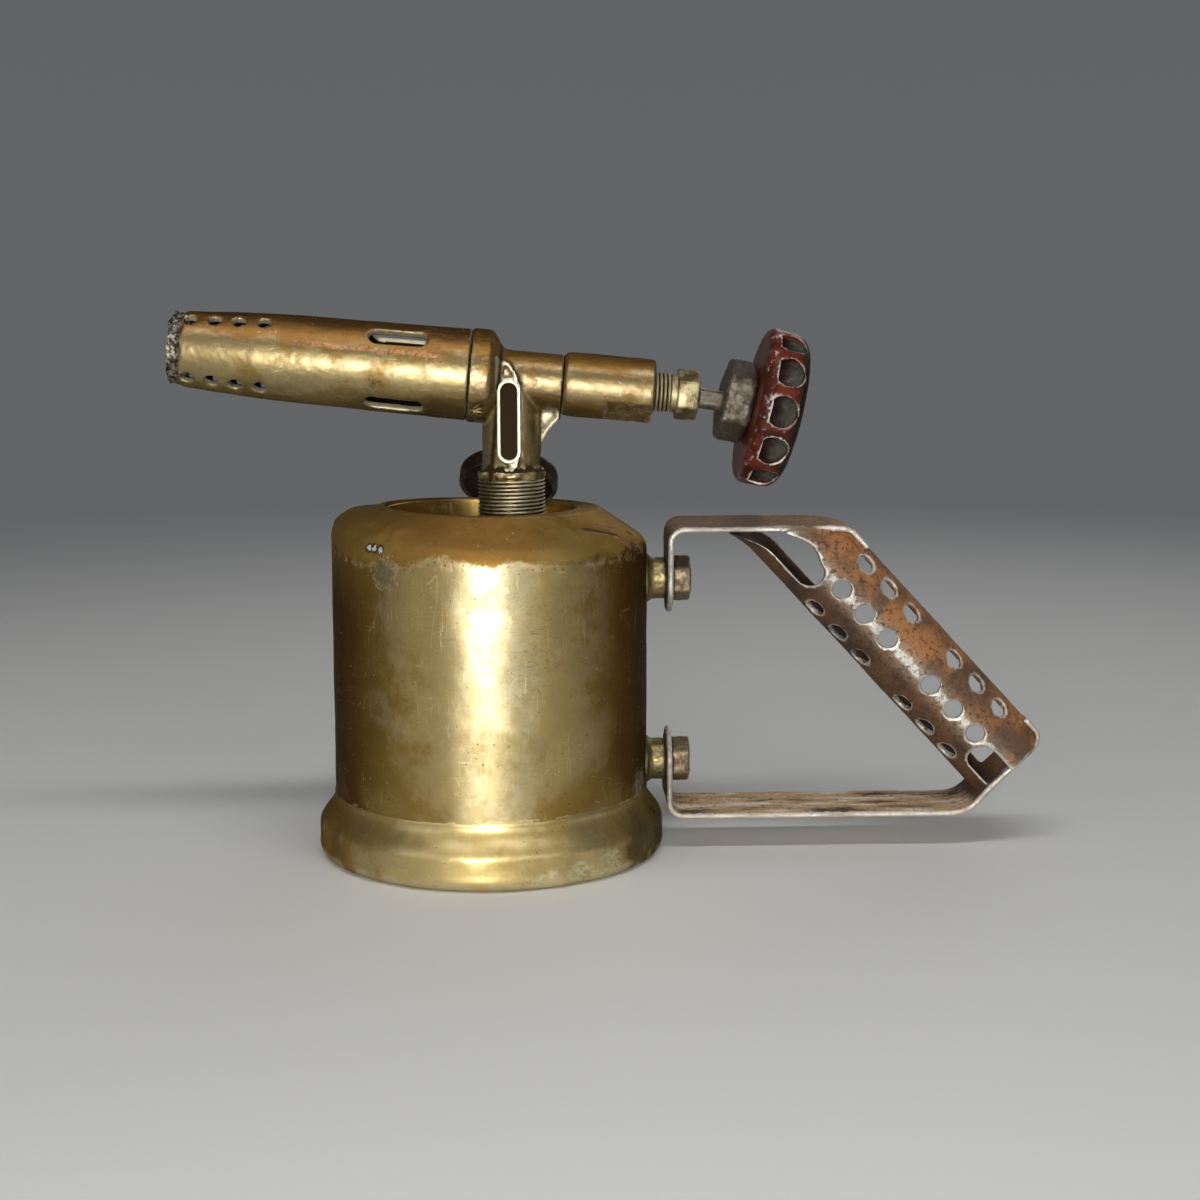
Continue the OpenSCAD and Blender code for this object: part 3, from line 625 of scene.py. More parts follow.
    @staticmethod
    def mark_proud(piece: Piece, rounds: int = 6) -> None:
        """Stores how far each point stands out of the surface round it, in millimetres.

        Args:
            piece: the piece.
            rounds: rounds of easing, which set how wide an edge reads.
        """
        mesh = piece.data
        place = Bench.points(piece)
        normal = np.empty(len(place) * 3, np.float32)
        mesh.vertex_normals.foreach_get("vector", normal)
        ends = np.empty(len(mesh.edges) * 2, np.int32)
        mesh.edges.foreach_get("vertices", ends)
        first, second = ends[0::2], ends[1::2]
        degree = np.maximum(np.bincount(ends, minlength=len(place)), 1)[:, None]
        eased = place.copy()
        for _ in range(rounds):
            total = np.stack(
                [
                    np.bincount(first, eased[second, k], len(place))
                    + np.bincount(second, eased[first, k], len(place))
                    for k in range(3)
                ],
                axis=1,
            )
            eased = (eased + total / degree) / 2.0
        proud = ((place - eased) * normal.reshape(-1, 3)).sum(axis=1)
        Bench.store(piece, Mark.PROUD, proud)


class Graph:
    """The nodes of a material or of the world, with short calls for those that are used here."""

    def __init__(self, owner: Material | bpy.types.World) -> None:
        """Starts nodes that read Object coordinates.

        Args:
            owner: what the nodes belong to.
        """
        owner.use_nodes = True
        self.tree = owner.node_tree
        self.shader = self.tree.nodes.get("Principled BSDF")
        self.place = self.add("ShaderNodeTexCoord", {}).outputs["Object"]
        self.normal: Socket | None = None

    def add(self, kind: str, feeds: Feeds, **settings: object) -> bpy.types.Node:
        """Adds a node.

        Args:
            kind: the node's type.
            feeds: what its sockets take, links or values.
            **settings: its properties.

        Returns:
            The node.
        """
        node = self.tree.nodes.new(kind)
        for key, value in settings.items():
            setattr(node, key, value)
        for key, value in feeds.items():
            self.put(node.inputs[key], value)
        return node

    def put(self, socket: Socket, value: object) -> None:
        """Links a socket to another, or sets its number, vector or colour.

        Args:
            socket: the socket.
            value: what it takes.
        """
        if isinstance(value, bpy.types.NodeSocket):
            self.tree.links.new(value, socket)
        elif socket.type == "RGBA":
            socket.default_value = (*value, 1.0)
        else:
            socket.default_value = value

    def set(self, name: str, value: object) -> None:
        """Sets or links one of the shader's own sockets."""
        self.put(self.shader.inputs[name], value)

    def mapped(self, stretch: Colour, turn: Colour, shift: Colour) -> Socket:
        """Object coordinates, stretched, turned and shifted."""
        feeds = {"Vector": self.place, "Scale": stretch, "Rotation": turn, "Location": shift}
        return self.add("ShaderNodeMapping", feeds).outputs["Vector"]

    def local(self, matrix: Matrix) -> tuple[Socket, Socket, Socket]:
        """Splits the place into a frame's coordinates.

        Args:
            matrix: the frame.

        Returns:
            X, Y and Z in millimetres.
        """
        feeds = {
            "Vector": self.place,
            "Location": matrix.to_translation(),
            "Rotation": matrix.to_euler(),
            "Scale": (MM, MM, MM),
        }
        node = self.add("ShaderNodeMapping", feeds, vector_type="TEXTURE")
        return tuple(self.add("ShaderNodeSeparateXYZ", {0: node.outputs["Vector"]}).outputs)

    def noise(
        self, size: float, detail: float = 4.0, rough: float = 0.55, stretch: Colour = EVEN,
        turn: Colour = STILL, shift: Colour = STILL,
    ) -> Socket:
        """Cloudy noise round 0.5.

        Args:
            size: size of its blotches in millimetres.
            detail: octaves of finer noise.
            rough: strength of the finer noise.
            stretch: scale of the coordinates, smaller along a direction that is drawn out.
            turn: turn of the coordinates in radians.
            shift: shift of the coordinates, which gives another noise.

        Returns:
            The noise.
        """
        feeds = {
            "Vector": self.mapped(stretch, turn, shift),
            "Scale": 1.0 / (size * MM),
            "Detail": detail,
            "Roughness": rough,
        }
        return self.add("ShaderNodeTexNoise", feeds).outputs[0]

    def cells(self, size: float, shift: Colour = STILL) -> Socket:
        """Distance to the middle of scattered cells, where a cell is about 1 across."""
        feeds = {"Vector": self.mapped(EVEN, STILL, shift), "Scale": 1.0 / (size * MM)}
        return self.add("ShaderNodeTexVoronoi", feeds).outputs["Distance"]

    def math(self, operation: str, first: Number, second: Number = 0.0) -> Socket:
        """One sum on numbers."""
        return self.add("ShaderNodeMath", {0: first, 1: second}, operation=operation).outputs[0]

    def plus(self, *values: Number) -> Socket:
        """The sum of several numbers."""
        return functools.reduce(lambda a, b: self.math("ADD", a, b), values)

    def times(self, *values: Number) -> Socket:
        """The product of several numbers."""
        return functools.reduce(lambda a, b: self.math("MULTIPLY", a, b), values)

    def either(self, *values: Number) -> Socket:
        """The largest of several numbers."""
        return functools.reduce(lambda a, b: self.math("MAXIMUM", a, b), values)

    def away(self, value: Socket) -> Socket:
        """How far a number is from 0."""
        return self.math("ABSOLUTE", value)

    def rest(self, share: Socket) -> Socket:
        """What a share leaves of 1."""
        return self.math("SUBTRACT", 1.0, share)

    def sway(self, noise: Socket, width: float) -> Socket:
        """Noise that swings about 0 over a width."""
        return self.times(self.plus(noise, -0.5), width)

    def band(self, value: Socket, low: float, high: float) -> Socket:
        """A soft step from 0 at low to 1 at high, or from 1 to 0 where low is the larger."""
        feeds = {"Value": value, "From Min": low, "From Max": high}
        return self.add("ShaderNodeMapRange", feeds, interpolation_type="SMOOTHSTEP").outputs["Result"]

    def span(self, value: Socket, low: float, high: float) -> Socket:
        """Spreads a share from 0 to 1 over low to high."""
        return self.plus(self.times(value, high - low), low)

    def radius(self, first: Socket, second: Socket) -> Socket:
        """Distance from an axis, by the two coordinates across it."""
        return self.math("SQRT", self.plus(self.times(first, first), self.times(second, second)))

    def mix(self, share: Number, first: object, second: object) -> Socket:
        """Mixes two colours."""
        return self.add("ShaderNodeMix", {0: share, 6: first, 7: second}, data_type="RGBA").outputs[2]

    def lay(self, under: object, paint: object, *shares: Number) -> Socket:
        """Lays a paint over a colour, by the product of several shares."""
        return self.mix(self.times(*shares), under, paint)

    def shade(self, colour: Socket, value: Socket) -> Socket:
        """Multiplies a colour by a number."""
        return self.add("ShaderNodeVectorMath", {0: colour, "Scale": value}, operation="SCALE").outputs[0]

    def mark(self, mark: Mark) -> Socket:
        """A point attribute of the mesh."""
        return self.add("ShaderNodeAttribute", {}, attribute_name=mark.value).outputs["Fac"]

    def spot(self, at: Colour, radius: float, ragged: Socket, soft: float = 0.2) -> Socket:
        """A round patch with a ragged edge.

        Args:
            at: the patch's middle in millimetres.
            radius: its radius in millimetres.
            ragged: noise that moves its edge in and out.
            soft: width of its edge as a share of the radius.

        Returns:
            A share that is 1 inside the patch.
        """
        edge, torn = 1.55, 1.2
        feeds = {0: self.place, 1: Vector(at) * MM}
        distance = self.add("ShaderNodeVectorMath", feeds, operation="DISTANCE").outputs["Value"]
        share = self.plus(self.times(distance, 1.0 / (radius * MM)), self.times(ragged, torn))
        return self.band(share, edge + soft / 2.0, edge - soft / 2.0)

    def hairlines(
        self, size: float, stretch: Colour, turn: Colour, shift: Colour, width: float
    ) -> Socket:
        """Thin scratches, where noise crosses its mean.

        Args:
            size: size of the noise in millimetres.
            stretch: scale of the coordinates, smaller along the scratches.
            turn: turn of the coordinates in radians.
            shift: shift of the coordinates.
            width: how far from its mean the noise still scratches.

        Returns:
            A share that is 1 in the scratches.
        """
        noise = self.noise(size, 1.0, 0.5, stretch, turn, shift)
        return self.band(self.away(self.plus(noise, -0.5)), width, 0.0)

    def bump(self, height: Socket, depth: float) -> None:
        """Adds a height in millimetres to the surface's normal.

        Args:
            height: pattern of the height.
            depth: its millimetres.
        """
        feeds = {"Distance": depth * MM, "Height": height}
        if self.normal is not None:
            feeds["Normal"] = self.normal
        self.normal = self.add("ShaderNodeBump", feeds).outputs["Normal"]

    def finish(self, colour: Socket, rough: Socket, metal: Number) -> None:
        """Links the shader.

        Args:
            colour: the surface's colour.
            rough: its roughness.
            metal: its share of metal.
        """
        self.set("Base Color", colour)
        self.set("Roughness", rough)
        self.set("Metallic", metal)
        if self.normal is not None:
            self.set("Normal", self.normal)


@dataclass(frozen=True)
class Finish:
    """What a surface is made of and how it has aged."""

    name: str

    def draw(self, g: Graph) -> None:
        """Draws the finish with nodes."""
        raise NotImplementedError

    @functools.cache
    def material(self) -> Material:
        """The finish as a Blender material, made on its first use."""
        material = bpy.data.materials.new(self.name)
        self.draw(Graph(material))
        return material


@dataclass(frozen=True)
class Brass(Finish):
    """Brass with uneven tarnish, worn bright where it stands proud, darker in its hollows, and darkened where its
    points are marked for soot, soiling and painted shade.
    """

    metal: Colour = (0.45, 0.315, 0.085)
    tarnish: Colour = (0.20, 0.115, 0.025)
    bright: Colour = (0.64, 0.55, 0.33)
    silver: Colour = (0.52, 0.49, 0.40)
    # Near-black brown for pits, soot and soiling, and for painted shade.
    dirt_and_shade: Colour = (0.030, 0.020, 0.010)
    edge_tint: Colour = (0.10, 0.05, 0.012)
    blotch: float = 16.0
    depth: float = 0.55
    patchy: float = 0.35
    dull: float = 0.25
    lacquer: float = 0.55
    lacquer_ior: float = 1.5
    turned: float = 0.0
    spread: Pair = (0.44, 0.64)
    gloss: Pair = (0.28, 0.45)
    worn_at: Pair = (0.035, 0.12)
    hollow_dark_at: Pair = (-0.03, -0.14)
    grain: float = 1.0

    def ground(self, g: Graph) -> tuple[Socket, Socket]:
        """Colour of the metal and the share of tarnish on it."""
        tarnish = g.times(g.band(g.noise(self.blotch, 6.0, 0.62), *self.spread), self.depth)
        return g.mix(tarnish, self.metal, self.tarnish), tarnish

    def draw(self, g: Graph) -> None:
        """Draws the finish with nodes.

        Args:
            g: graph to draw in.
        """
        colour, tarnish = self.ground(g)
        fine = g.noise(0.7, 5.0, 0.7)
        mottle = g.noise(3.2, 4.0, 0.6, shift=(0.3, 0.1, 0.2))
        cloud = g.plus(g.times(fine, 0.5), g.times(mottle, 0.5))
        colour = g.shade(colour, g.span(cloud, 1.0 - self.patchy, 1.0 + self.patchy))

        lines = g.either(
            g.hairlines(2.6, (1.0, 1.0, 0.09), (0.3, 0.2, 0.0), (0.7, 0.0, 0.1), 0.008),
            g.hairlines(2.1, (0.10, 0.10, 1.0), (0.2, 0.5, 0.3), (0.2, 0.4, 0.9), 0.006),
        )
        lines = g.times(lines, g.band(g.noise(9.0, 2.0, shift=(0.9, 0.9, 0.1)), 0.44, 0.58))
        pits = g.times(
            g.band(g.cells(2.3), 0.13, 0.05),
            g.band(g.noise(11.0, 2.0, shift=(0.4, 0.8, 0.6)), 0.44, 0.56),
        )
        chips = g.times(
            g.band(g.cells(3.7, (0.5, 0.2, 0.3)), 0.11, 0.05),
            g.band(g.noise(14.0, 2.0, shift=(0.1, 0.6, 0.3)), 0.50, 0.60),
        )
        colour = g.lay(colour, self.bright, lines, g.span(tarnish, 0.6, 0.2))
        colour = g.lay(colour, self.dirt_and_shade, pits, 0.75)
        colour = g.lay(colour, self.bright, chips, 0.6)

        proud = g.plus(g.mark(Mark.PROUD), g.sway(fine, 0.10))
        broken = g.band(g.noise(5.0, 3.0, shift=(0.7, 0.5, 0.2)), 0.40, 0.58)
        worn = g.times(g.band(proud, *self.worn_at), broken, 0.75)
        # Bare metal from the points' mark; on the pan the same mark holds painted highlights.
        bare = g.band(g.plus(g.mark(Mark.BARE_AND_GLINT), g.sway(cloud, 1.3)), 0.40, 0.68)
        # Darker in hollows and where the points' dark mark says; that mark holds soot and soiling, and painted
        # shade behind the burner's flange and in thread roots.
        hollow = g.band(proud, *self.hollow_dark_at)
        grime_and_shade = g.band(g.plus(g.mark(Mark.GRIME_AND_SHADE), g.sway(mottle, 0.5)), 0.25, 0.75)
        dirt_and_shade = g.either(g.times(hollow, 0.9), grime_and_shade)
        colour = g.mix(worn, colour, self.bright)
        raw = g.mix(fine, self.bright, self.silver)
        colour = g.mix(bare, colour, g.shade(raw, g.span(mottle, 0.5, 1.5)))
        colour = g.mix(dirt_and_shade, colour, self.dirt_and_shade)

        rough = g.span(g.plus(g.times(tarnish, 0.7), g.times(mottle, 0.3)), *self.gloss)
        rough = g.plus(rough, g.times(bare, 0.05), g.times(dirt_and_shade, 0.30), g.times(fine, 0.08))
        metal = g.plus(1.0, g.times(tarnish, -self.dull), g.times(dirt_and_shade, -0.75))
        g.bump(mottle, 0.06 * self.grain)
        g.bump(fine, 0.035 * self.grain)
        g.bump(g.plus(g.times(lines, -0.3), g.times(pits, -1.0)), 0.05)
        g.set("Specular Tint", self.edge_tint)
        g.set("Coat Weight", g.times(g.band(g.either(tarnish, dirt_and_shade), 0.65, 0.15), self.lacquer))
        g.set("Coat Roughness", 0.34)
        g.set("Coat IOR", self.lacquer_ior)
        g.set("Anisotropic", self.turned)
        g.set("Anisotropic Rotation", 0.25)
        g.finish(colour, rough, metal)


@dataclass(frozen=True)
class TankBrass(Brass):
    """Tank brass, browned over the shoulder down to a ragged line, with painted shade that darkens its sides, a
    painted highlight down its front that is partly wear, and a painted highlight along the corner under the line.
    """

    shoulder: Colour = (0.275, 0.145, 0.037)
    # Dark brown for the shoulder's mottling and for the painted shade on the sides.
    umber_and_shade: Colour = (0.085, 0.039, 0.008)
    olive: Colour = (0.37, 0.26, 0.085)
    # Pale brass for the painted highlight down the front, which is partly wear.
    wear_and_highlight: Colour = (0.60, 0.53, 0.31)
    # Light gold for the painted highlight along the rounded corner.
    corner_highlight: Colour = (0.74, 0.50, 0.24)
    drip: Colour = (0.27, 0.215, 0.10)
    lime: Colour = (0.88, 0.86, 0.79)
    shoulder_line: float = 89.8
    line_fall: float = -0.01
    # Distance from the middle at which the sides take painted shade and more tarnish.
    flank_tarnish_and_shade: float = 40.0
    seam: float = 19.0
    flake_at: Colour = (-28.4, -36.2, 86.2)
    flake_radius: float = 4.6
    nicks_at: tuple[Colour, ...] = ((-32.6, -32.4, 93.0), (-31.2, -33.6, 93.0), (-29.4, -35.2, 92.8))
    scuff_at: Colour = (7.0, -45.5, 66.0)
    scuff_radius: float = 15.0
    solder_at: Colour = (43.0, -15.5, 21.5)
    solder_radius: float = 5.0

    def ground(self, g: Graph) -> tuple[Socket, Socket]:
        """Colour of the metal and the share of tarnish, by height and side.

        Args:
            g: graph to draw in.

        Returns:
            The colour and the share.
        """
        x, _, z = g.local(UPRIGHT)
        clouds = g.noise(self.blotch, 6.0, 0.62)
        waves = g.noise(13.0, 3.0, 0.5, shift=(0.8, 0.1, 0.3))
        ragged = g.noise(3.6, 5.0, 0.68, shift=(0.2, 0.7, 0.4))
        height = g.plus(z, g.times(x, self.line_fall), g.sway(waves, 9.0), g.sway(ragged, 5.0))
        over = g.band(height, self.shoulder_line - 0.5, self.shoulder_line + 0.9)
        left = g.band(x, -20.0, -38.0)
        near = g.band(height, self.shoulder_line - 16.0, self.shoulder_line)
        stained = g.times(near, 0.6, left)
        rising = g.band(height, self.shoulder_line - 2.6, self.shoulder_line - 0.8)
        under = g.times(rising, g.rest(over))
        # Painted highlight: a broken bright line along the corner just under the shoulder line.
        corner_highlight = g.times(under, g.band(ragged, 0.45, 0.60))
        # Painted shade, partly tarnish: the brass darkens toward both sides.
        flank_tarnish_and_shade = g.band(g.away(x), self.flank_tarnish_and_shade * 0.52, self.flank_tarnish_and_shade * 1.08)
        low = g.band(z, self.seam + 12.0, self.seam)
        soil = g.plus(clouds, g.times(flank_tarnish_and_shade, 0.20), g.times(low, 0.10))
        tarnish = g.times(g.band(soil, *self.spread), self.depth)
        colour = g.mix(tarnish, self.metal, self.tarnish)
        # Painted shade on both sides, in dark brown.
        colour = g.lay(colour, self.umber_and_shade, flank_tarnish_and_shade, 0.85)
        colour = g.lay(colour, self.olive, low, g.band(waves, 0.44, 0.62), 0.5)
        # Painted highlight, partly wear: a paler ragged band down the front, strongest in the upper part.
        off_line = g.away(g.plus(x, g.times(g.plus(waves, -0.55), 16.0)))
        wear_and_highlight_share = g.times(
            g.band(off_line, 17.0, 3.0),
            g.span(g.band(ragged, 0.40, 0.60), 0.55, 0.9),
            g.span(g.band(z, 30.0, 66.0), 0.65, 1.0),
        )
        colour = g.mix(wear_and_highlight_share, colour, self.wear_and_highlight)
        brown = g.lay(self.shoulder, self.umber_and_shade, g.band(clouds, 0.48, 0.68), 0.5)
        # Olive on the right of the shoulder and plainer brass toward its sides: partly patina, partly painted
        # light that lifts the shoulder's sides.
        brown = g.lay(brown, self.olive, g.band(waves, 0.36, 0.58), g.band(x, 0.0, 30.0), 0.85)
        brown = g.lay(brown, self.metal, g.band(g.away(x), 12.0, 32.0), 0.4)
        colour = g.mix(g.either(over, stained), colour, brown)
        colour = g.lay(colour, self.corner_highlight, corner_highlight, 0.6)
        specks = g.band(g.cells(1.5, (0.7, 0.1, 0.4)), 0.26, 0.14)
        colour = g.lay(colour, self.dirt_and_shade, under, specks, 0.75)
        # The share returned as tarnish also holds the painted shade of the sides, which dulls the metal and keeps
        # the lacquer off there.
        return self.scars(g, colour, ragged), g.either(tarnish, over, g.times(flank_tarnish_and_shade, 0.8))

    def scars(self, g: Graph, colour: Socket, ragged: Socket) -> Socket:
        """Adds a dried drip and nicks on the left of the shoulder, and scuffs in front.

        Args:
            g: graph to draw in.
            colour: colour under the scars.
            ragged: noise that frays them.

        Returns:
            The colour with the scars.
        """
        torn = g.plus(g.times(g.noise(1.3, 4.0, 0.7), 2.4), -0.7)
        scuffs = g.either(
            g.hairlines(1.9, (0.35, 0.35, 1.0), (0.4, 0.1, 0.8), (0.5, 0.3, 0.7), 0.02),
            g.band(g.cells(1.9, (0.3, 0.6, 0.1)), 0.18, 0.08),
        )
        scuffs = g.times(scuffs, g.spot(self.scuff_at, self.scuff_radius, ragged, 1.2), 0.65)
        colour = g.mix(scuffs, colour, self.tarnish)
        drip = g.spot(self.flake_at, self.flake_radius, torn)
        core = g.spot(self.flake_at, self.flake_radius - 0.8, torn)
        rim = g.times(drip, g.rest(core), g.band(ragged, 0.44, 0.52))
        colour = g.lay(colour, self.drip, core, 0.7)
        colour = g.lay(colour, self.bright, rim, 0.85)
        solder = g.times(g.spot(self.solder_at, self.solder_radius, torn), g.band(ragged, 0.40, 0.56))
        colour = g.lay(colour, self.silver, solder, 0.7)
        for nick in self.nicks_at:
            colour = g.lay(colour, self.dirt_and_shade, g.spot(nick, 1.5, ragged, 0.6), 0.8)
            colour = g.mix(g.spot(nick, 0.95, torn), colour, self.lime)
        return colour


@dataclass(frozen=True)
class FootBrass(Brass):
    """Foot brass, browner at its sides, partly tarnish and partly painted shade and darkest on the left, with
    spilt solder and corrosion along its lower edge.
    """

    crust: Colour = (0.62, 0.58, 0.36)
    black: Colour = (0.055, 0.053, 0.038)
    # Distance from the middle at which the sides take painted shade and more tarnish.
    flank_tarnish_and_shade: float = 34.0
    spills_at: tuple[Colour, ...] = ((25.0, -43.6, 1.0), (16.0, -48.0, 0.2), (33.5, -38.0, 2.4))
    spill_radius: float = 6.0
    burns_at: tuple[Colour, ...] = ((43.6, -25.0, 7.0), (47.0, -15.0, 5.0), (-20.0, 46.0, 5.0))
    burn_radius: float = 11.0

    def ground(self, g: Graph) -> tuple[Socket, Socket]:
        """Colour of the metal and the share of tarnish, by side and by old spills.

        Args:
            g: graph to draw in.

        Returns:
            The colour and the share.
        """
        x, _, _ = g.local(UPRIGHT)
        ragged = g.noise(4.5, 6.0, 0.72, shift=(0.2, 0.7, 0.4))
        # Painted shade, partly tarnish: the brass darkens toward both sides, most on the left.
        flank_tarnish_and_shade = g.band(g.away(x), self.flank_tarnish_and_shade * 0.8, self.flank_tarnish_and_shade * 1.4)
        soil = g.plus(g.noise(self.blotch, 6.0, 0.62), g.times(flank_tarnish_and_shade, 0.22))
        tarnish = g.times(g.band(soil, *self.spread), self.depth)
        colour = g.mix(tarnish, self.metal, self.tarnish)
        colour = g.lay(colour, self.tarnish, g.band(x, -26.0, -47.0), 0.65)
        burnt = g.either(*(g.spot(at, self.burn_radius, ragged, 1.1) for at in self.burns_at))
        burnt = g.times(burnt, g.span(g.band(soil, 0.45, 0.85), 0.35, 1.0))
        colour = g.lay(colour, self.black, burnt, 0.85)
        spilt = g.either(*(g.spot(at, self.spill_radius, ragged) for at in self.spills_at))
        spilt = g.times(spilt, g.band(g.noise(1.5, 5.0, 0.7), 0.42, 0.54))
        colour = g.lay(colour, self.crust, spilt, 0.85)
        return colour, g.either(tarnish, burnt, spilt, g.times(flank_tarnish_and_shade, 0.8))


@dataclass(frozen=True)
class BurnerBrass(Brass):
    """Burner brass: heat-tinted red along its top, sooty at the mouth, with an orange-red streak on its front that
    is partly oxide and partly a painted reflection.
    """

    tint: Colour = (0.29, 0.135, 0.038)
    scorch: Colour = (0.115, 0.055, 0.020)
    verdigris: Colour = (0.115, 0.098, 0.050)
    # Orange-red for the streak that is partly oxide and partly painted reflection.
    copper_oxide_and_reflection: Colour = (0.66, 0.32, 0.15)
    ash: Colour = (0.27, 0.255, 0.215)
    mouth: float = MOUTH
    pits_at: tuple[Colour, ...] = ((3.2, -12.4, -39.5), (4.4, -12.0, -36.9), (5.0, -11.8, -38.3))
    crust_length: float = 4.4

    def ground(self, g: Graph) -> tuple[Socket, Socket]:
        """Colour of the metal and the share of tarnish, by place along and round the burner.

        Args:
            g: graph to draw in.

        Returns:
            The colour and the share.
        """
        down, side, along = g.local(BURNER)
        clouds = g.noise(self.blotch, 6.0, 0.62)
        wisps = g.noise(5.0, 5.0, 0.62, stretch=(0.35, 1.0, 1.0), shift=(0.6, 0.2, 0.8))
        crust = g.noise(1.5, 6.0, 0.75, shift=(0.3, 0.9, 0.5))
        wisp = g.plus(wisps, -0.5)
        tarnish = g.times(g.band(clouds, *self.spread), self.depth)
        colour = g.mix(tarnish, self.metal, self.tarnish)
        up = g.plus(g.times(down, -1.0), g.times(wisp, 12.0))
        top = g.band(up, 1.5, 8.0)
        colour = g.lay(colour, self.tint, top, 0.82)
        # Painted reflection, partly oxide: a thin broken orange-red line just above the axis, on the front only.
        off_line = g.away(g.plus(down, 4.8, g.times(wisp, 4.0)))
        streak = g.times(
            g.band(off_line, 1.1, 0.3),
            g.band(side, -4.0, -8.0),
            g.band(along, -70.0, -50.0),
            g.band(along, -14.0, -24.0),
        )
        colour = g.lay(colour, self.copper_oxide_and_reflection, streak, g.band(crust, 0.40, 0.55))
        edge = g.band(up, 8.0, 11.5)
        colour = g.lay(colour, self.scorch, edge, 0.75)
        under = g.band(g.plus(down, g.times(wisp, 10.0)), 5.0, 11.0)
        under = g.times(under, g.band(g.away(along), 8.0, 10.5))
        colour = g.lay(colour, self.verdigris, under, 0.6)
        on_arm = g.times(g.band(along, -13.0, -9.0), g.band(down, 10.0, 8.0))
        colour = g.lay(colour, self.tarnish, on_arm, 0.4)
        for place in self.pits_at:
            at = tuple(BURNER @ (Vector(place) * MM) / MM)
            pitted = g.times(g.spot(at, 1.3, crust, 1.0), g.band(crust, 0.42, 0.54))
            colour = g.lay(colour, self.scorch, pitted, 0.85)
        soot_end = self.mouth + self.crust_length
        burnt = g.band(g.plus(along, g.times(wisp, 9.0)), soot_end + 0.5, soot_end - 0.5)
        scale = g.mix(g.band(crust, 0.42, 0.56), self.dirt_and_shade, self.ash)
        scale = g.mix(g.band(crust, 0.56, 0.66), scale, self.silver)
        colour = g.mix(burnt, colour, scale)
        return colour, g.either(tarnish, g.times(g.either(top, under), 0.7), burnt)


@dataclass(frozen=True)
class RustySteel(Finish):
    """Sheet steel gone rusty and bright on its edges, with a grey streak along the front of the grip, partly wear
    from the hand and partly a painted highlight, and painted shade on the grip's inner side.
    """

    brown: Colour = (0.125, 0.068, 0.036)
    rust: Colour = (0.35, 0.155, 0.055)
    black: Colour = (0.026, 0.018, 0.012)
    grey: Colour = (0.34, 0.28, 0.215)
    tan: Colour = (0.56, 0.38, 0.20)
    edge: Colour = (0.78, 0.74, 0.67)
    worn_at: Pair = (0.035, 0.12)
    # Place of the grey streak across the grip, which is partly wear and partly painted highlight.
    wear_and_highlight_line: float = 2.0
    strap_top: float = 15.0
    strap_high: float = 94.5

    def draw(self, g: Graph) -> None:
        """Draws the finish with nodes.

        Args:
            g: graph to draw in.
        """
        across, side, _ = g.local(GRIP)
        clouds = g.noise(14.0, 6.0, 0.65)
        crust = g.noise(3.0, 6.0, 0.7, shift=(0.5, 0.1, 0.9))
        fine = g.noise(0.6, 4.0, 0.7, shift=(0.2, 0.3, 0.1))
        colour = g.mix(g.band(clouds, 0.40, 0.62), self.brown, self.rust)
        shift = g.plus(across, g.sway(clouds, 10.0))
        # Painted shade: the grip's inner side is darkened toward black.
        inner = g.band(shift, 3.0, 7.0)
        colour = g.lay(colour, self.black, inner, 0.68)
        # Painted highlight, partly wear: a grey streak and a bright line along the grip's middle, on its front
        # only.
        off_line = g.away(g.plus(across, -self.wear_and_highlight_line))
        off_line = g.plus(off_line, g.sway(crust, 5.0))
        facing = g.band(side, -6.0, -10.0)
        wear_and_highlight = g.times(g.band(off_line, 5.5, 0.5), facing, g.band(crust, 0.30, 0.58))
        polish_and_highlight = g.times(g.band(off_line, 1.9, 0.4), facing)
        colour = g.lay(colour, self.grey, wear_and_highlight, 0.85)
        colour = g.lay(colour, self.edge, polish_and_highlight, 0.8)
        _, _, height = g.local(UPRIGHT)
        high = g.band(height, self.strap_high - 1.0, self.strap_high + 1.0)
        colour = g.lay(colour, self.tan, high, 0.22)
        low = g.band(height, self.strap_top, self.strap_top - 3.0)
        streak = g.noise(4.0, 5.0, 0.65, stretch=(0.18, 1.0, 1.0), shift=(0.3, 0.6, 0.1))
        colour = g.lay(colour, self.tan, low, g.band(streak, 0.34, 0.50), 0.9)
        colour = g.lay(colour, self.edge, low, g.band(streak, 0.52, 0.62), 0.7)
        pits = g.band(g.noise(1.5, 5.0, 0.75, shift=(0.1, 0.8, 0.4)), 0.54, 0.64)
        flakes = g.either(g.band(crust, 0.56, 0.68), g.times(pits, g.band(clouds, 0.36, 0.52)))
        colour = g.lay(colour, self.black, flakes, 0.66)
        colour = g.shade(colour, g.span(fine, 0.45, 1.55))
        proud = g.plus(g.mark(Mark.PROUD), g.sway(crust, 0.16))
        worn = g.times(g.band(proud, *self.worn_at), g.span(g.band(clouds, 0.40, 0.60), 0.55, 1.0))
        colour = g.lay(colour, self.edge, worn, 0.9)
        metal = g.plus(0.25, g.times(wear_and_highlight, 0.45), g.times(worn, 0.65))
        rough = g.plus(0.66, g.times(wear_and_highlight, -0.20), g.times(worn, -0.22), g.times(fine, 0.12))
        g.bump(g.plus(crust, g.times(pits, -0.35)), 0.30)
        g.bump(fine, 0.06)
        g.finish(colour, rough, metal)


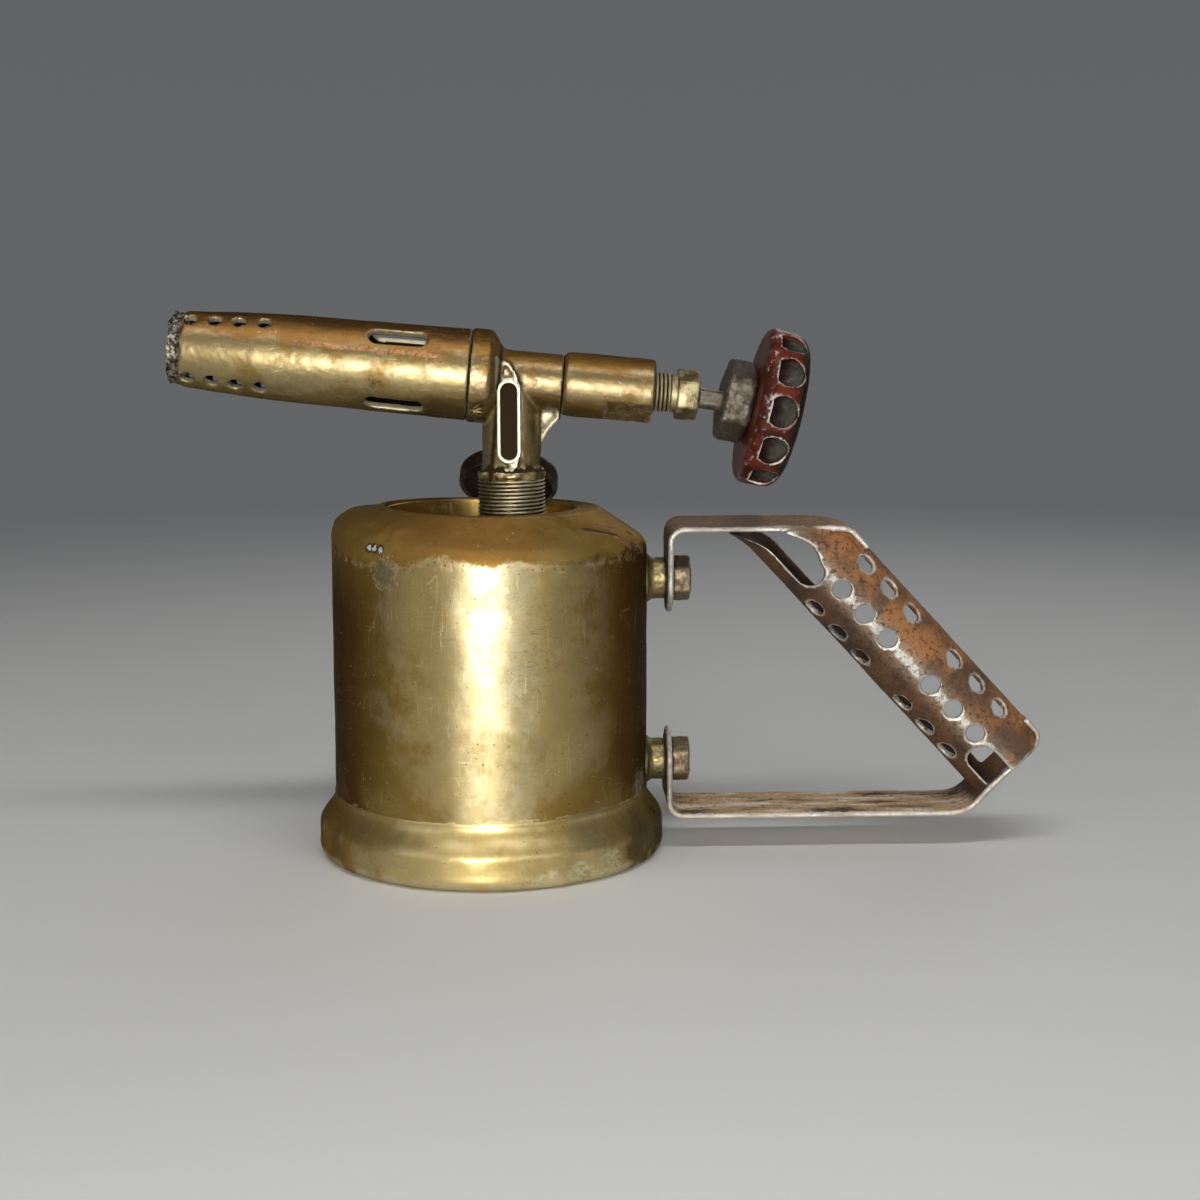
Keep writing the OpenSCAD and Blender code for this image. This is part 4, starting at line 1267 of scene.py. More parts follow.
@dataclass(frozen=True)
class Steel(Finish):
    """Plain or dull steel with blotchy stains and bright edges."""

    metal: Colour
    stain: Colour
    edge: Colour = (0.48, 0.44, 0.37)
    rough: float = 0.42
    blotch: float = 3.0
    worn_at: Pair = (0.04, 0.14)

    def draw(self, g: Graph) -> None:
        """Draws the finish with nodes.

        Args:
            g: graph to draw in.
        """
        clouds = g.noise(self.blotch, 6.0, 0.7)
        fine = g.noise(0.8, 4.0, 0.7)
        stain = g.band(clouds, 0.42, 0.60)
        colour = g.shade(g.mix(stain, self.metal, self.stain), g.span(fine, 0.5, 1.5))
        proud = g.plus(g.mark(Mark.PROUD), g.sway(fine, 0.10))
        worn = g.times(g.band(proud, *self.worn_at), g.span(stain, 1.0, 0.3))
        colour = g.lay(colour, self.edge, worn, 0.8)
        rough = g.plus(self.rough, g.times(stain, 0.16), g.times(fine, 0.10), g.times(worn, -0.1))
        metal = g.plus(0.95, g.times(stain, -0.35))
        g.bump(clouds, 0.10)
        g.bump(fine, 0.05)
        g.finish(colour, rough, metal)


@dataclass(frozen=True)
class Bakelite(Finish):
    """Dark red moulding, grey and soiled in its pockets and chipped pale on their edges, with painted shade on the
    hub side of the pockets and on the wheel's outer face.
    """

    red: Colour = (0.115, 0.021, 0.011)
    # Near-black red for mottling and for the painted shade.
    dark: Colour = (0.018, 0.006, 0.004)
    pocket: Colour = (0.075, 0.069, 0.053)
    chip: Colour = (0.80, 0.75, 0.67)
    rim_radius: float = RIM_RADIUS
    pocket_middle: float = WHEEL_START + WHEEL_THICK / 2.0
    worn_at: Pair = (0.045, 0.13)

    def draw(self, g: Graph) -> None:
        """Draws the finish with nodes.

        Args:
            g: graph to draw in.
        """
        g.set("IOR", 1.3)
        g.set("Specular IOR Level", 0.3)
        down, side, along = g.local(WHEEL)
        clouds = g.noise(8.0, 5.0, 0.6)
        crust = g.noise(2.2, 5.0, 0.65, shift=(0.4, 0.4, 0.1))
        fine = g.noise(0.6, 4.0, 0.7)
        radius = g.radius(down, side)
        # Painted shade: the wheel's outer face is darkened.
        outer = g.band(g.plus(along, g.sway(clouds, 5.0)), 78.0, 81.0)
        colour = g.mix(g.either(outer, g.times(g.band(clouds, 0.44, 0.62), 0.75)), self.red, self.dark)
        sunk = g.band(radius, self.rim_radius - 0.9, self.rim_radius - 1.7)
        close = g.band(g.away(g.plus(along, -self.pocket_middle)), 4.6, 3.9)
        rim = g.band(radius, self.rim_radius - 4.0, self.rim_radius - 3.0)
        pocket = g.times(sunk, close, rim)
        # Painted shade on the hub side of each pocket's floor.
        shaded = g.band(g.plus(along, g.sway(crust, 3.0)), 74.5, 79.0)
        floor = g.shade(g.mix(shaded, self.dark, self.pocket), g.span(crust, 0.0, 1.6))
        colour = g.mix(pocket, colour, floor)
        proud = g.plus(g.mark(Mark.PROUD), g.sway(crust, 0.30))
        lip = g.band(along, 75.5, 72.0)
        chipped = g.either(lip, g.band(clouds, 0.5, 0.6))
        worn = g.times(g.band(proud, *self.worn_at), g.span(chipped, 0.25, 1.0))
        colour = g.lay(colour, self.chip, worn, 0.9)
        colour = g.shade(colour, g.span(fine, 0.65, 1.35))
        rough = g.plus(0.26, g.times(pocket, 0.45), g.times(outer, 0.3), g.times(worn, 0.2))
        rough = g.plus(rough, g.times(crust, 0.12))
        g.bump(crust, 0.16)
        g.bump(fine, 0.03)
        g.finish(colour, rough, 0.0)


@dataclass(frozen=True)
class Fibre(Finish):
    """Soft piece inside the lamp: leather or twisted cotton."""

    light: Colour
    dark: Colour
    thread: float

    def draw(self, g: Graph) -> None:
        """Draws the finish with nodes.

        Args:
            g: graph to draw in.
        """
        strands = g.noise(self.thread, 3.0, 0.6, stretch=(1.0, 1.0, 0.35), turn=(0.4, 0.2, 0.0))
        colour = g.mix(g.band(strands, 0.38, 0.62), self.dark, self.light)
        g.bump(strands, 0.25)
        g.finish(colour, g.span(strands, 0.70, 0.92), 0.0)


BURNER = along_joint("handwheel_turn")
LEAN = 7.5
LEAN_START = 62.0
FILLER = along_joint("filler_turn")
PIVOT = moved(z=LEAN_START)
WHEEL = BURNER @ PIVOT @ turned(LEAN, "Y") @ PIVOT.inverted()
GRIP_SLOPE = 46.9
GRIP_CORNER = (104.3, 0.0, 96.6)
GRIP_RADIUS = 12.8
GRIP_TURN = turned(90.0 + GRIP_SLOPE, "Y")
GRIP = moved(*GRIP_CORNER) @ GRIP_TURN @ moved(GRIP_RADIUS)

TANK_BRASS = TankBrass(
    "tank_brass", blotch=24.0, depth=0.6, patchy=0.24, turned=0.55, gloss=(0.34, 0.50),
    worn_at=(0.16, 0.40), lacquer=0.8, lacquer_ior=1.8,
)
FOOT_BRASS = FootBrass(
    "foot_brass", metal=(0.60, 0.445, 0.14), blotch=22.0, depth=0.45, patchy=0.3, turned=0.4,
    gloss=(0.36, 0.50), worn_at=(0.08, 0.22), lacquer=1.0, lacquer_ior=1.9,
)
# Lighter brass for the pan, painted light for its lit far wall; its bright and silver colours paint the glints.
DISH_BRASS = Brass(
    "dish_brass", metal=(0.62, 0.41, 0.11), bright=(0.88, 0.66, 0.28), silver=(0.80, 0.62, 0.30),
    depth=0.4,
)
BURNER_BRASS = BurnerBrass(
    "burner_brass", metal=(0.345, 0.25, 0.08), blotch=11.0, lacquer=0.9, lacquer_ior=1.8, patchy=0.42,
    gloss=(0.33, 0.50), worn_at=(0.06, 0.16), grain=0.8,
)
FITTING_BRASS = Brass(
    "fitting_brass", metal=(0.32, 0.255, 0.115), tarnish=(0.16, 0.10, 0.04), blotch=5.0,
    gloss=(0.36, 0.52),
)
GLAND_BRASS = Brass(
    "gland_brass", metal=(0.205, 0.158, 0.065), tarnish=(0.12, 0.07, 0.024), blotch=4.0,
    gloss=(0.46, 0.60),
)
# Very dark brass for the filler cap: partly dark oxide, partly painted shade, as the cap sits on the back of the
# shoulder away from the light.
DARK_BRASS = Brass(
    "dark_brass", metal=(0.060, 0.036, 0.016), tarnish=(0.025, 0.015, 0.007),
    bright=(0.22, 0.16, 0.085), gloss=(0.34, 0.52),
)
DULL_STEEL = Steel("dull_steel", (0.150, 0.130, 0.102), (0.075, 0.054, 0.036), rough=0.44, blotch=2.6)
BOLT_STEEL = Steel("bolt_steel", (0.26, 0.21, 0.13), (0.12, 0.080, 0.045))
PLAIN_STEEL = Steel("plain_steel", (0.36, 0.32, 0.22), (0.20, 0.15, 0.085), rough=0.38)
RUSTY_STEEL = RustySteel("rusty_steel")
BAKELITE = Bakelite("bakelite")
LEATHER = Fibre("leather", (0.16, 0.095, 0.050), (0.065, 0.038, 0.020), 1.4)
COTTON = Fibre("cotton", (0.62, 0.55, 0.42), (0.36, 0.30, 0.21), 0.8)


def dress(piece: Piece, finish: Finish, node: str, crease: float = 180.0) -> None:
    """Finishes a piece and ties it to the frame.

    Args:
        piece: the modelled piece, at its place.
        finish: its finish.
        node: the solid that it stands for, which gives its body and is then hidden.
        crease: angle in degrees above which an edge stays sharp.
    """
    Bench.hold(piece)
    bpy.ops.object.shade_smooth_by_angle(angle=math.radians(crease))
    piece.data.materials.clear()
    piece.data.materials.append(finish.material())
    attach(piece, BODY_OF[node])
    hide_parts(node)
    LOG.info("%s stands for %s: %d faces", piece.name, node, len(piece.data.polygons))


def coat(node: str, finish: Finish) -> None:
    """Gives a solid that keeps its own shape a finish."""
    solid = frame["nodes"][node]
    solid.data.materials.clear()
    solid.data.materials.append(finish.material())
    LOG.info("%s keeps its solid", node)


@dataclass
class Tank:
    """Sheet-brass tank: dented shell, priming dish, bottom disc and flared foot."""

    corner: float = 92.0
    corner_round: float = 6.0
    rim_radius: float = 32.0
    wall: float = 0.9
    dish_radius: float = 28.5
    dish_shift: float = 2.0
    dish_floor: float = 92.0
    dish_wall: float = 0.8
    dish_round: float = 2.5
    collar: float = 0.9
    collar_proud: float = 0.45
    flare_foot: float = 9.0
    foot_wall: float = 1.1
    foot_round: float = 3.5
    foot_ring: float = 2.0
    steps: int = 208
    shell_blows: tuple[Blow, ...] = (
        Blow((-4.5, -46.0, 77.0), (0.1, 0.30, 0.0), 10.0),
        Blow((-30.6, -32.4, 92.7), (0.2, 0.2, -0.3), 4.0),
        Blow((16.7, -43.0, 33.0), (0.0, 0.25, 0.0), 12.0),
        Blow((-36.0, -28.0, 50.0), (0.3, 0.2, 0.0), 16.0),
        Blow((30.0, 35.0, 60.0), (-0.5, -0.6, 0.0), 14.0),
        Blow((-25.0, 38.0, 40.0), (0.4, -0.6, 0.0), 11.0),
    )
    bulge: float = 5.4
    swell_foot: float = 66.0
    lifted_rim: float = 0.9
    wrinkled_at: Colour = (37.0, -20.0, 95.0)
    wrinkle_reach: float = 18.0
    creases: tuple[tuple[Colour, Colour], ...] = (
        ((23.0, -30.0, 100.0), (43.5, -15.0, 90.5)),
        ((31.0, -31.0, 93.5), (45.0, -9.0, 90.0)),
        ((38.0, -4.0, 97.0), (45.0, -14.0, 86.0)),
        ((-22.0, -35.0, 95.0), (-29.0, -29.0, 95.5)),
    )
    foot_blows: tuple[Blow, ...] = (
        Blow((25.0, -43.5, 4.0), (-0.2, 0.4, 0.3), 7.0),
        Blow((15.0, -48.0, 3.0), (0.0, 0.3, 0.2), 5.0),
        Blow((42.6, -27.0, 7.0), (-0.6, 0.3, 0.0), 9.0),
        Blow((-46.0, -20.0, 8.0), (0.8, 0.3, 0.0), 9.0),
        Blow((-2.5, -50.5, 12.0), (0.0, 0.35, 0.0), 5.0),
        Blow((-20.0, 46.0, 6.0), (0.2, -0.8, 0.2), 9.0),
    )

    def build(self) -> None:
        """Models and dresses the tank's pieces."""
        self.shell()
        self.dish()
        self.foot()
        coat("tank_bottom", FOOT_BRASS)

    def shell(self) -> None:
        """Drawn shell with a slumped shoulder and the dents of long use."""
        low, high = box_mm("tank_shell")
        radius, rim = high.x, high.z
        slope = math.degrees(math.atan2(rim - self.corner, radius - self.rim_radius))
        turn = 90.0 - slope
        drop = self.corner_round * math.tan(math.radians(turn / 2.0))
        centre = (radius - self.corner_round, self.corner - drop)
        rise = math.tan(math.radians(slope))
        outline = line((radius, low.z), (radius, centre[1]), 1.0)
        outline += arc(centre, self.corner_round, 0.0, turn, 9)[1:]
        outline += line(outline[-1], (self.rim_radius + 1.0, rim - rise), 1.0)[1:]
        outline += [(self.rim_radius + 0.35, rim - 0.2), (self.rim_radius - 0.5, rim)]
        outline += [(self.dish_radius, rim)]
        piece = Bench.lathe("dented_shell", outline, self.steps)
        inside = self.dish_radius + 0.1
        on_lip = lambda point: point.z > rim - 0.05 and math.hypot(point.x, point.y) < inside
        Bench.shift(piece, on_lip, (-self.dish_shift, 0.0, 0.0))
        Bench.press(piece, self.bulge, self.swell, "Z")
        Bench.press(piece, -0.8, lambda p: self.crease_share(p, 0.0))
        Bench.press(piece, 0.6, lambda p: self.crease_share(p, 2.2))
        for blow in self.shell_blows:
            Bench.knock(piece, blow)
        Bench.roughen(piece, 26.0, 0.55, lambda p: ramp(rim - p[:, 2], 6.0))
        away = lambda p: np.linalg.norm(p - np.array(self.wrinkled_at), axis=1)
        Bench.roughen(piece, 7.0, 1.1, lambda p: peak(away(p), self.wrinkle_reach, 1.2))
        Bench.roughen(piece, 5.5, 0.16)
        Bench.mark_proud(piece)
        Bench.modify(piece, "SOLIDIFY", thickness=self.wall * MM, offset=-1.0)
        dress(piece, TANK_BRASS, "tank_shell", 40.0)

    def swell(self, points: Array) -> Array:
        """Share of each point in the swelling on the left of the shoulder, strongest at the corner.

        Args:
            points: rows of millimetres.

        Returns:
            The shares.
        """
        radius = radius_of(points)
        facing = ramp(-points[:, 0], np.maximum(radius, 1.0)) ** 1.4
        outward = ramp(radius - self.rim_radius, 10.0)
        outward = outward * outward * (3.0 - 2.0 * outward)
        upward = ramp(points[:, 2] - self.swell_foot, self.corner - self.swell_foot)
        rim = self.lifted_rim / self.bulge
        return facing * upward * upward * (rim + (1.0 - rim) * outward)

    def crease_share(self, points: Array, aside: float) -> Array:
        """Share of each point in the creases, or in a ridge that runs aside of them.

        Args:
            points: rows of millimetres.
            aside: distance of the ridge from the crease's line.

        Returns:
            The shares.
        """
        share = np.zeros(len(points))
        for start, stop in self.creases:
            first, along = np.array(start), np.array(stop) - np.array(start)
            place = ramp((points - first) @ along, along @ along)
            wander = 1.3 * np.sin(place * 9.0 + first[0])
            away = np.linalg.norm(points - first - place[:, None] * along, axis=1) + wander * 0.5
            near = peak(away - aside, 2.0)
            share = np.maximum(share, near * np.sin(np.pi * np.clip(place, 0.02, 0.98)))
        return share

    def dish(self) -> None:
        """Pan round the neck, let into the rim."""
        rim = box_mm("tank_shell")[1].z
        under = self.dish_floor - self.dish_wall
        centre = (self.dish_radius - self.dish_round, under + self.dish_round)
        lip = self.dish_wall / 2.0
        outline = line((0.0, under), (centre[0], under), 2.0)
        outline += arc(centre, self.dish_round, -90.0, 0.0, 6)[1:]
        outline += line(outline[-1], (self.dish_radius, rim - lip), 1.0)[1:]
        outline += arc((self.dish_radius - lip, rim - lip), lip, 0.0, 180.0, 6)[1:]
        outline += line(outline[-1], (self.dish_radius - self.dish_wall, centre[1]), 1.0)[1:]
        outline += arc(centre, self.dish_round - self.dish_wall, 0.0, -90.0, 6)[1:]
        outline += line(outline[-1], (0.0, self.dish_floor), 2.0)[1:]
        piece = Bench.lathe("priming_pan", outline, 160)
        Bench.place(piece, moved(-self.dish_shift))
        Bench.mark_proud(piece)
        Bench.paint(piece, Mark.GRIME_AND_SHADE, self.stain)
        # Painted highlights on the pan's far wall, kept in the bare-metal mark.
        Bench.paint(piece, Mark.BARE_AND_GLINT, self.glints)
        dress(piece, DISH_BRASS, "priming_dish", 50.0)

    def stain(self, points: Array) -> Array:
        """Share of brown stain on the pan's floor, and on the right of its wall.

        Args:
            points: rows of millimetres.

        Returns:
            The shares.
        """
        rim = box_mm("tank_shell")[1].z
        wall = 0.5 * (points[:, 0] > 10.0) * ramp(points[:, 2] - rim + 3.5, 2.0)
        return np.where(points[:, 2] < self.dish_floor + 0.3, 0.75, wall)

    def glints(self, points: Array) -> Array:
        """Share of painted highlight on the pan's far wall: a strip on the left and a corner on the right.

        Args:
            points: rows of millimetres.

        Returns:
            The shares.
        """
        rim = box_mm("tank_shell")[1].z
        x, y, z = points.T
        strip = peak(x + 16.0, 6.0, 1.3) * peak(z - rim + 2.8, 2.6, 1.3)
        corner = ramp(x - 12.0, 3.0) * ramp(rim - 2.2 - (x - 14.0) * 0.25 - z, 1.2)
        return (y > 6.0) * (0.55 * strip + 0.9 * corner)

    def foot(self) -> None:
        """Flared foot with a soldered seam at its collar."""
        low, high = box_mm("base_skirt")
        radius, seam = high.x, high.z
        inner = box_mm("tank_shell")[1].x + 0.05
        collar_radius = inner + self.collar_proud
        flare_top = seam - self.collar
        flare = [
            (
                collar_radius + (radius - collar_radius) * (1.0 - math.cos(math.pi * i / 16.0)) / 2.0,
                flare_top + (self.flare_foot - flare_top) * i / 16.0,
            )
            for i in range(17)
        ]
        edge = (radius - self.foot_round, low.z + self.foot_round)
        ring = edge[0] - self.foot_ring
        solder = [(inner - 0.8, seam + 1.5), (inner + 0.15, seam + 0.75)]
        solder += [(collar_radius - 0.25, seam + 0.1)]
        outline = solder + line((collar_radius, seam - 0.2), flare[0], 0.7) + flare[1:]
        outline += line(flare[-1], (radius, edge[1]), 0.7)[1:]
        outline += arc(edge, self.foot_round, 0.0, -90.0, 6)[1:]
        outline += [(ring, low.z), (ring, low.z + self.foot_wall)]
        outline += arc(edge, self.foot_round - self.foot_wall, -90.0, 0.0, 4)
        outline += [(r - self.foot_wall, z) for r, z in reversed(flare)]
        outline += [(inner - 0.8, seam - 0.5), solder[0]]
        piece = Bench.lathe("flared_foot", outline, self.steps)
        for blow in self.foot_blows:
            Bench.knock(piece, blow)
        lifted = low.z + 1.0
        Bench.roughen(piece, 14.0, 0.5, lambda p: ramp(p[:, 2] - lifted, 4.0), 1.0)
        Bench.roughen(piece, 1.6, 0.5, lambda p: ramp(p[:, 2] - seam + 0.4, 0.4))
        Bench.mark_proud(piece)
        dress(piece, FOOT_BRASS, "base_skirt", 50.0)


@dataclass
class Burner:
    """Burner: neck bush, cast body with its neck thread, plaque and web, and the flame tube."""

    stem: float = 16.8
    arm: float = 16.4
    arm_end: float = 14.9
    flange: float = 27.0
    flange_front: float = -11.9
    flange_back: float = -5.5
    flange_edge: float = 1.1
    flange_slope: float = 4.0
    spigot: float = 7.0
    spigot_wall: float = 1.6
    thread: float = 19.6
    pitch: float = 1.1
    thread_depth: float = 0.66
    thread_top: float = 112.0
    bush: float = 24.0
    bush_top: float = 95.5
    bush_flange: float = 29.0
    bush_seat: float = 92.05
    plaque_width: float = 6.8
    plaque_height: float = 24.0
    plaque_proud: float = 1.0
    plaque_turn: float = -4.0
    border: float = 1.0
    sink: float = 0.6
    web_leg: float = 14.0
    fan_turn: float = -42.0
    fan_root: float = -11.2
    fan_step: float = 26.0
    fan_reach: float = 4.2
    web_thick: float = 4.0
    mouth: float = MOUTH
    nose: float = -69.0
    tube_radii: tuple[float, float, float] = (13.15, 12.4, 10.5)
    tube_wall: float = 2.2
    lip: float = 0.1
    lip_length: float = 2.2
    hole: float = 3.8
    hole_first: float = 6.4
    hole_pitch: float = 6.9
    hole_count: int = 4
    slot_length: float = 16.8
    slot_width: float = 5.0
    slot_back: float = 12.3
    drill_start: float = 5.0
    drill_length: float = 12.0
    hole_rows: tuple[int, ...] = (38, 137, 218, 317)
    slot_rows: tuple[int, ...] = (46, 144, 226, 324)

    @property
    def neck(self) -> Matrix:
        """Place of the stem's axis."""
        return Matrix.Translation((BURNER.translation.x, 0, 0))

    @property
    def height(self) -> float:
        """Height at which the burner's axis crosses the stem's."""
        return BURNER.translation.z / MM

    def build(self) -> None:
        """Models and dresses the burner's pieces."""
        self.neck_bush()
        self.casting()
        self.flame_tube()
        coat("jet_nipple", FITTING_BRASS)
        coat("feed_tube", FITTING_BRASS)
        coat("wick", COTTON)

    def neck_bush(self) -> None:
        """Bush in the dish that takes the neck thread."""
        bore, outer, flange = self.thread / 2.0 + 0.05, self.bush / 2.0, self.bush_flange / 2.0
        low, seat, top = box_mm("neck_bush")[0].z, self.bush_seat, self.bush_top
        outline = [(bore, low), (outer, low), (outer, seat), (flange, seat), (flange, seat + 1.4)]
        outline += [(outer, seat + 1.4), (outer, top), (bore, top), (bore, low)]
        piece = Bench.bevel(Bench.lathe("neck_ring", outline, 96), 0.3)
        Bench.place(piece, self.neck)
        Bench.mark_proud(piece, 3)
        Bench.fill(piece, Mark.GRIME_AND_SHADE, 0.35)
        dress(piece, FITTING_BRASS, "neck_bush", 40.0)

    def casting(self) -> None:
        """Cast stem, tee and flange in one skin, with the thread and the plaque worked on it."""
        forms = [self.stem_form(), self.arm_form(), self.web_form(), *self.crest_forms()]
        body = Bench.skin(Bench.join(forms), 0.42, 6)
        body.name = "burner_casting"
        Bench.press(body, -0.5, self.fan_marks)
        Bench.roughen(body, 1.1, 0.16)
        Bench.roughen(body, 5.0, 0.22)
        Bench.mark_proud(body)
        Bench.paint(body, Mark.BARE_AND_GLINT, self.bare_places)
        Bench.paint(body, Mark.GRIME_AND_SHADE, self.dirt_and_shade_places)
        plaque = self.plaque()
        thread = self.neck_thread()
        body = Bench.join([body, plaque, thread])
        dress(body, BURNER_BRASS, "burner_body", 50.0)

    def stem_form(self) -> Piece:
        """Stem above the thread, with the torn metal where the thread runs out.

        Returns:
            The form.
        """
        core = self.thread / 2.0 - self.thread_depth
        low = box_mm("burner_body")[0].z
        top, radius = self.thread_top, self.stem / 2.0
        outline = [(0.0, top - 2.8), (radius + 1.1, top - 2.8), (radius + 1.5, top - 1.6)]
        outline += [(radius + 1.2, top), (radius + 0.2, top + 1.4), (0.0, top + 1.4)]
        ragged = Bench.lathe("run_out", outline, 72)
        Bench.skin(ragged, 0.4, 1)
        Bench.roughen(ragged, 2.0, 2.0)
        outline = [(0.0, low), (core, low), (core, top - 1.0), (radius, top)]
        outline += [(radius, self.height), (0.0, self.height)]
        stem = Bench.lathe("stem", outline, 96)
        return Bench.place(Bench.join([stem, ragged]), self.neck)

    def arm_form(self) -> Piece:
        """Arm, flange and the spigot inside the flame tube, turned along the burner.

        Returns:
            The form.
        """
        front, back = self.flange_front, self.flange_back
        tip = front - self.spigot
        outer = self.tube_radius(tip) - self.tube_wall - 0.05
        inner = outer - self.spigot_wall
        rim, arm, foot = self.flange / 2.0, self.arm / 2.0, back + self.flange_slope
        outline = [(0.0, front), (inner, front), (inner, tip), (outer, tip), (outer, front)]
        outline += [(rim, front), (rim, back - self.flange_edge), (rim - 0.5, back - 0.3)]
        outline += [(arm + 0.5, foot - 1.2), (arm, foot + 0.6), (arm, self.arm_end), (0.0, self.arm_end)]
        return Bench.place(Bench.lathe("arm", outline, 112), BURNER)

    def web_form(self) -> Piece:
        """Curved web in the corner under the arm.

        Returns:
            The form.
        """
        tilt = math.atan2(-BURNER.col[2].z, BURNER.col[2].x)
        stem_face = BURNER.translation.x / MM + self.stem / 2.0
        corner = self.height - self.arm / 2.0 - self.stem / 2.0 * math.tan(tilt)
        centre = (stem_face + self.web_leg, corner - self.web_leg)
        reach = BURNER.translation.x / MM + self.arm_end * math.cos(tilt) - 0.4
        stop = math.degrees(math.acos((reach - centre[0]) / self.web_leg))
        outline = [(stem_face - 4.0, centre[1])]
        outline += arc(centre, self.web_leg, 180.0, stop, 10)
        outline += [(reach, corner + 4.0), (stem_face - 4.0, corner + 4.0)]
        half = self.web_thick / 2.0
        piece = Bench.plate("web", outline, -half, half)
        for side in (-half, half):
            Bench.sink(piece, lambda point: abs(point.y - side) < 0.01, border=1.1, slope=0.35, depth=0.7)
            Bench.close()
        return piece

    def crest_forms(self) -> list[Piece]:
        """Pointed crest above the plaque and the short tail below it.

        Returns:
            Both forms.
        """
        front = -self.stem / 2.0 - self.plaque_proud + 0.25
        inner = self.plaque_width / 2.0 - self.border / 2.0
        top = self.height
        crest = [(3.3, top - 3.0), (2.6, top + 0.8), (0.6, top + 4.4), (-1.2, top + 5.4)]
        crest += [(-2.6, top + 4.2), (-3.3, top + 1.0), (-3.3, top - 3.0)]
        crest += arc((0.0, top - self.plaque_width / 2.0), inner, 170.0, 10.0, 8)
        foot = top - self.plaque_height
        tail = arc((0.0, foot + self.plaque_width / 2.0), inner, 215.0, 325.0, 8)
        tail += [(3.0, foot + 1.2), (2.4, foot - 1.4), (1.6, foot - 1.6), (-0.2, foot - 0.4)]
        forms = [Bench.plate("crest", crest, front, -4.0), Bench.plate("tail", tail, front, -4.0)]
        Bench.sink(forms[0], lambda point: point.y < front + 0.01, border=0.9, slope=0.25, depth=0.6)
        Bench.close()
        turn = self.neck @ turned(self.plaque_turn, "Z")
        return [Bench.place(form, turn) for form in forms]

    def fan_marks(self, points: Array) -> Array:
        """Share of each point in the fan of tool marks low on the flange's rim.

        Args:
            points: rows of millimetres.

        Returns:
            The shares.
        """
        local = self.along(points)
        radius = radius_of(local)
        round_rim = (np.arctan2(local[:, 1], local[:, 0]) - math.radians(self.fan_turn)) * radius
        across = local[:, 2] - self.fan_root
        reach = np.hypot(round_rim, across)
        turn = np.degrees(np.arctan2(round_rim, across))
        off_line = np.abs((turn + self.fan_step / 2.0) % self.fan_step - self.fan_step / 2.0)
        groove = peak(np.radians(off_line) * reach, 0.42)
        inside = (np.abs(turn) < 2.6 * self.fan_step) & (reach > 0.8) & (reach < self.fan_reach)
        return groove * inside * (radius > self.flange / 2.0 - 1.2)

    def bare_places(self, points: Array) -> Array:
        """Where the casting is worn to bare metal: the web, the crest and the tail.

        Args:
            points: rows of millimetres.

        Returns:
            The shares.
        """
        x = points[:, 0] - BURNER.translation.x / MM
        y, z = points[:, 1], points[:, 2] - self.height
        half = self.stem / 2.0
        web = (x > half + 0.3) & (x < 15.0) & (z < -self.arm / 2.0 - 0.6) & (np.abs(y) < 2.6)
        turn = math.radians(self.plaque_turn)
        raised = x * math.sin(turn) - y * math.cos(turn) > half + 0.45
        crest = raised & (y < -5.0) & (np.abs(x) < 4.4) & (z < 6.5) & (z > -27.0)
        local = self.along(points)
        rim = radius_of(local) > self.flange / 2.0 - 0.6
        return np.maximum.reduce([1.0 * web, 0.80 * crest, 0.15 * rim])

    def dirt_and_shade_places(self, points: Array) -> Array:
        """Where it darkens: painted shade and soot behind the flange, a dark joint at the arm's end, soot inside
        the tube and soiling round the thread.

        Args:
            points: rows of millimetres.

        Returns:
            The shares.
        """
        local = self.along(points)
        radius = radius_of(local)
        # Painted shade and soot on the arm just behind the flange.
        back = peak(local[:, 2] - self.flange_back - 2.2, 2.2)
        behind = 0.8 * back * (radius > 8.8)
        joint = 0.9 * peak(local[:, 2] - self.arm_end, 0.7)
        inside = 1.0 * (local[:, 2] < self.flange_front + 0.4)
        turn = np.arctan2(points[:, 1], points[:, 0] - BURNER.translation.x / MM)
        swings = ((0.55, 5.0, 0.0), (0.45, 13.0, 1.0), (0.3, 31.0, 2.0))
        waves = sum(height * np.sin(count * turn + start) for height, count, start in swings)
        torn = self.thread_top + 1.3 + waves - points[:, 2]
        neck = 0.9 * ramp(torn, 0.5) * np.maximum(ramp(2.0 + 0.8 * waves - torn, 0.6), 0.35)
        return np.maximum.reduce([behind, joint, inside, neck])

    @staticmethod
    def along(points: Array) -> Array:
        """Points in the burner's own frame."""
        turn = np.array(BURNER.inverted().to_3x3())
        return (points - np.array(BURNER.translation) / MM) @ turn.T

